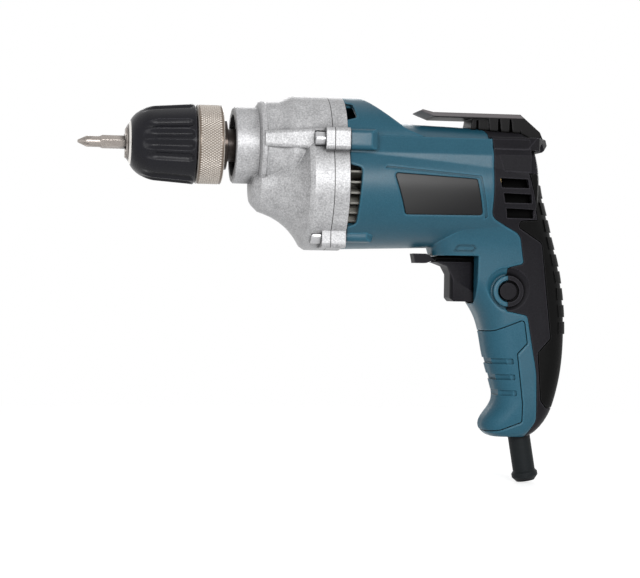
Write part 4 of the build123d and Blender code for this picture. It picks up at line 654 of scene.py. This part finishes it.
# Chuck sleeve: satin black moulding pressed over the nut that drives the jaws. Long flutes in four groups run out
# towards the domed front and end in a round behind. Inside it has a seat for the nut and room for the jaws.
sleeve_black = finish(
    "sleeve_black", dark=(0.009, 0.009, 0.012), pale=(0.016, 0.016, 0.021),
    roughness=0.27, slow=90, height=0.00003, gloss=0.17, edge=3.0, corner=0.15,
)
flute_groups = 4
flutes_in_group = 4
flute_step = math.radians(17.0)
flute_turn = math.radians(-88.0)
flute_half = math.radians(7.5)
flute_depth = 0.0016
flute_from_front = 0.005
flute_from_back = 0.0014
flute_end_round = 0.0026
flute_columns = 288
flute_rows = 28
sleeve_low, sleeve_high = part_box("chuck_sleeve")
nut_low, nut_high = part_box("chuck_nut")
sleeve_radius = sleeve_high.z
dome_length = 0.013
dome_radius = 0.0203
dome_points = 14
front_radius = 0.0122
front_pull = Vector((0.0019, 0, 0.0042))
dome_pull = Vector((0.005, 0, 0.0006))
back_edge = 0.0006
back_lip = 0.0015
front_wall = 0.0036
nose_bore = 0.01195
sleeve_bore = 0.0139
nut_gap = 0.0009
cone_length = 0.004
outside_depth = 0.0035
flute_front = sleeve_low.x + flute_from_front
flute_full = sleeve_low.x + dome_length
flute_back = sleeve_high.x - flute_from_back
dome_start = Vector((sleeve_low.x, 0, front_radius))
dome_end = Vector((sleeve_low.x + dome_length, 0, dome_radius))
dome = interpolate_bezier(dome_start, dome_start + front_pull, dome_end - dome_pull, dome_end, dome_points)
sleeve_corners = [
    Vector((sleeve_low.x, 0, nose_bore)),
    *dome,
    Vector((sleeve_high.x - back_edge, 0, sleeve_radius)),
    Vector((sleeve_high.x, 0, sleeve_radius - back_edge)),
    Vector((sleeve_high.x, 0, sleeve_bore)),
    Vector((sleeve_high.x - back_lip, 0, sleeve_bore)),
    Vector((sleeve_high.x - back_lip, 0, nut_high.z + nut_gap)),
    Vector((nut_high.x, 0, nut_high.z + nut_gap)),
    Vector((nut_high.x, 0, nut_high.z)),
    Vector((nut_low.x, 0, nut_high.z)),
    Vector((nut_low.x - cone_length, 0, sleeve_bore)),
    Vector((sleeve_low.x + front_wall, 0, sleeve_bore)),
    Vector((sleeve_low.x + front_wall, 0, nose_bore)),
]
sleeve_shape = bmesh.new()
sleeve_sides = closed_outline(sleeve_shape, sleeve_corners)
bmesh.ops.subdivide_edges(sleeve_shape, edges=[sleeve_sides[dome_points]], cuts=flute_rows)
turned(sleeve_shape, flute_columns)
for corner in sleeve_shape.verts:
    out = math.hypot(corner.co.y, corner.co.z)
    if out < sleeve_radius - outside_depth or not flute_front < corner.co.x < flute_back:
        continue
    turn = math.atan2(corner.co.y, corner.co.z) - flute_turn
    group_turn = (turn + math.pi / flute_groups) % (2 * math.pi / flute_groups) - math.pi / flute_groups
    place_in_group = group_turn / flute_step + (flutes_in_group - 1) / 2
    nearest = min(max(round(place_in_group), 0), flutes_in_group - 1)
    off = abs(place_in_group - nearest) * flute_step / flute_half
    rise = min(1, (corner.co.x - flute_front) / (flute_full - flute_front))
    end = min(1, (flute_back - corner.co.x) / flute_end_round)
    width = math.sqrt(1 - (1 - end) ** 2)
    if off < width:
        depth = flute_depth * rise * math.cos(math.pi / 2 * off / width) * width
        corner.co.y *= 1 - depth / out
        corner.co.z *= 1 - depth / out
bmesh.ops.recalc_face_normals(sleeve_shape, faces=sleeve_shape.faces)
fluted_sleeve = placed("fluted_sleeve", sleeve_shape, sleeve_black)
smooth_below(fluted_sleeve, degrees=40)
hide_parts("chuck_sleeve")
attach(fluted_sleeve, "chuck_sleeve")

# Bit: hardened steel with a brownish satin, a hexagon shank and a ground cross point. It is held by the three jaws
# and pulls out when they open.
# Strong painted shade in its corners, reaching 4 mm, darkens it beside the chuck's nose.
bit_steel = finish(
    "bit_steel", dark=(0.25, 0.222, 0.2), pale=(0.44, 0.4, 0.37),
    roughness=0.28, metallic=0.7, fine=2600, slow=80, height=0.00002, corner=0.08, reach=0.004,
)
wear(bit_steel, "screwdriver_bit")

# Studio: a pale round floor that fades into an even white surround, and soft lamps in front, behind and above.
# The surround is white to the eye and in reflections, and adds only a little light of its own.


def seen_rays(tree):
    """1 where the camera looks, directly, in a reflection or through a piece, and 0 for light on the pieces."""
    rays = tree.nodes.new("ShaderNodeLightPath")
    seen = rays.outputs["Is Camera Ray"]
    for label in ("Is Glossy Ray", "Is Transmission Ray"):
        either = tree.nodes.new("ShaderNodeMath")
        either.operation = "MAXIMUM"
        tree.links.new(seen, either.inputs[0])
        tree.links.new(rays.outputs[label], either.inputs[1])
        seen = either.outputs["Value"]
    return seen


floor_radius = 0.75
floor_middle = 0.05
floor_gap = 0.0004
floor_fade_start = 0.2
floor_fade_end = 0.7
floor_glow = 0.7
floor_shape = bmesh.new()
bmesh.ops.create_circle(floor_shape, cap_ends=True, segments=96, radius=floor_radius)
bmesh.ops.translate(floor_shape, verts=floor_shape.verts, vec=(floor_middle, 0.0, cad_low.z - floor_gap))
floor_white = bpy.data.materials.new("floor_white")
floor_white.use_nodes = True
floor_tree = floor_white.node_tree
floor_shader = floor_tree.nodes["Principled BSDF"]
floor_shader.inputs["Base Color"].default_value = (0.9, 0.9, 0.9, 1)
floor_shader.inputs["Roughness"].default_value = 0.9
floor_shader.inputs["Specular IOR Level"].default_value = 0.0
floor_shader.inputs["Emission Color"].default_value = (1, 1, 1, 1)
floor_place = floor_tree.nodes.new("ShaderNodeTexCoord")
floor_centre = floor_tree.nodes.new("ShaderNodeVectorMath")
floor_centre.operation = "DISTANCE"
floor_centre.inputs[1].default_value = (floor_middle, 0.0, cad_low.z)
floor_tree.links.new(floor_place.outputs["Object"], floor_centre.inputs[0])
floor_fade = floor_tree.nodes.new("ShaderNodeMapRange")
floor_fade.interpolation_type = "SMOOTHSTEP"
floor_fade.inputs["From Min"].default_value = floor_fade_start
floor_fade.inputs["From Max"].default_value = floor_fade_end
floor_fade.inputs["To Min"].default_value = 1.0
floor_fade.inputs["To Max"].default_value = 0.0
floor_tree.links.new(floor_centre.outputs["Value"], floor_fade.inputs["Value"])
floor_tree.links.new(floor_fade.outputs["Result"], floor_shader.inputs["Alpha"])
floor_level = floor_tree.nodes.new("ShaderNodeMath")
floor_level.operation = "MULTIPLY"
floor_level.inputs[1].default_value = floor_glow
floor_tree.links.new(seen_rays(floor_tree), floor_level.inputs[0])
floor_tree.links.new(floor_level.outputs["Value"], floor_shader.inputs["Emission Strength"])
floor = placed("floor", floor_shape, floor_white)

surround_light = 0.14
world = bpy.data.worlds.new("surround")
bpy.context.scene.world = world
world.use_nodes = True
sky = world.node_tree
background = sky.nodes["Background"]
background.inputs["Color"].default_value = (1, 1, 1, 1)
level = sky.nodes.new("ShaderNodeMapRange")
level.inputs["To Min"].default_value = surround_light
level.inputs["To Max"].default_value = 1.0
sky.links.new(seen_rays(sky), level.inputs["Value"])
sky.links.new(level.outputs["Result"], background.inputs["Strength"])


def lamp(name, place, target, size, power):
    """A soft rectangular lamp that faces a point."""
    data = bpy.data.lights.new(name, "AREA")
    data.shape = "RECTANGLE"
    data.size, data.size_y = size
    data.energy = power
    piece = bpy.data.objects.new(name, data)
    bpy.context.scene.collection.objects.link(piece)
    piece.location = place
    aim = Vector(target) - Vector(place)
    piece.rotation_euler = aim.to_track_quat("-Z", "Y").to_euler()


lamp("key_lamp", place=(0.2, -1.5, 0.26), target=(0.05, 0, -0.02), size=(0.6, 0.5), power=13)
lamp("fill_lamp", place=(-0.75, -1.3, 0.05), target=(0.05, 0, -0.04), size=(0.6, 0.8), power=4.5)
lamp("back_lamp", place=(0.5, 1.5, 0.5), target=(0.05, 0, -0.05), size=(1.2, 0.8), power=9)
lamp("top_lamp", place=(0.05, 0.3, 1.3), target=(0.05, 0, -0.03), size=(0.8, 0.6), power=0.5)

# Camera: at the photograph's height and angle, about a metre away from the tool's left side. It is turned a little
# towards the tool's front, and rolled by the picture's slight tilt.
view_turn = math.radians(9.6)
view_tilt = math.radians(0.85)
view_distance = 0.985
view_centre = Vector((0.04998, 0.0, -0.07789))
camera_data = bpy.data.cameras.new("camera")
camera_data.sensor_width = 36.0
camera_data.lens = 100.46
camera = bpy.data.objects.new("camera", camera_data)
bpy.context.scene.collection.objects.link(camera)
camera.location = view_centre - view_distance * Vector((math.sin(view_turn), math.cos(view_turn), 0))
heading = Euler((math.pi / 2, 0, -view_turn)).to_matrix()
camera.rotation_euler = (heading @ Matrix.Rotation(view_tilt, 3, "Z")).to_euler()
bpy.context.scene.camera = camera
bpy.context.scene.view_settings.view_transform = "Standard"
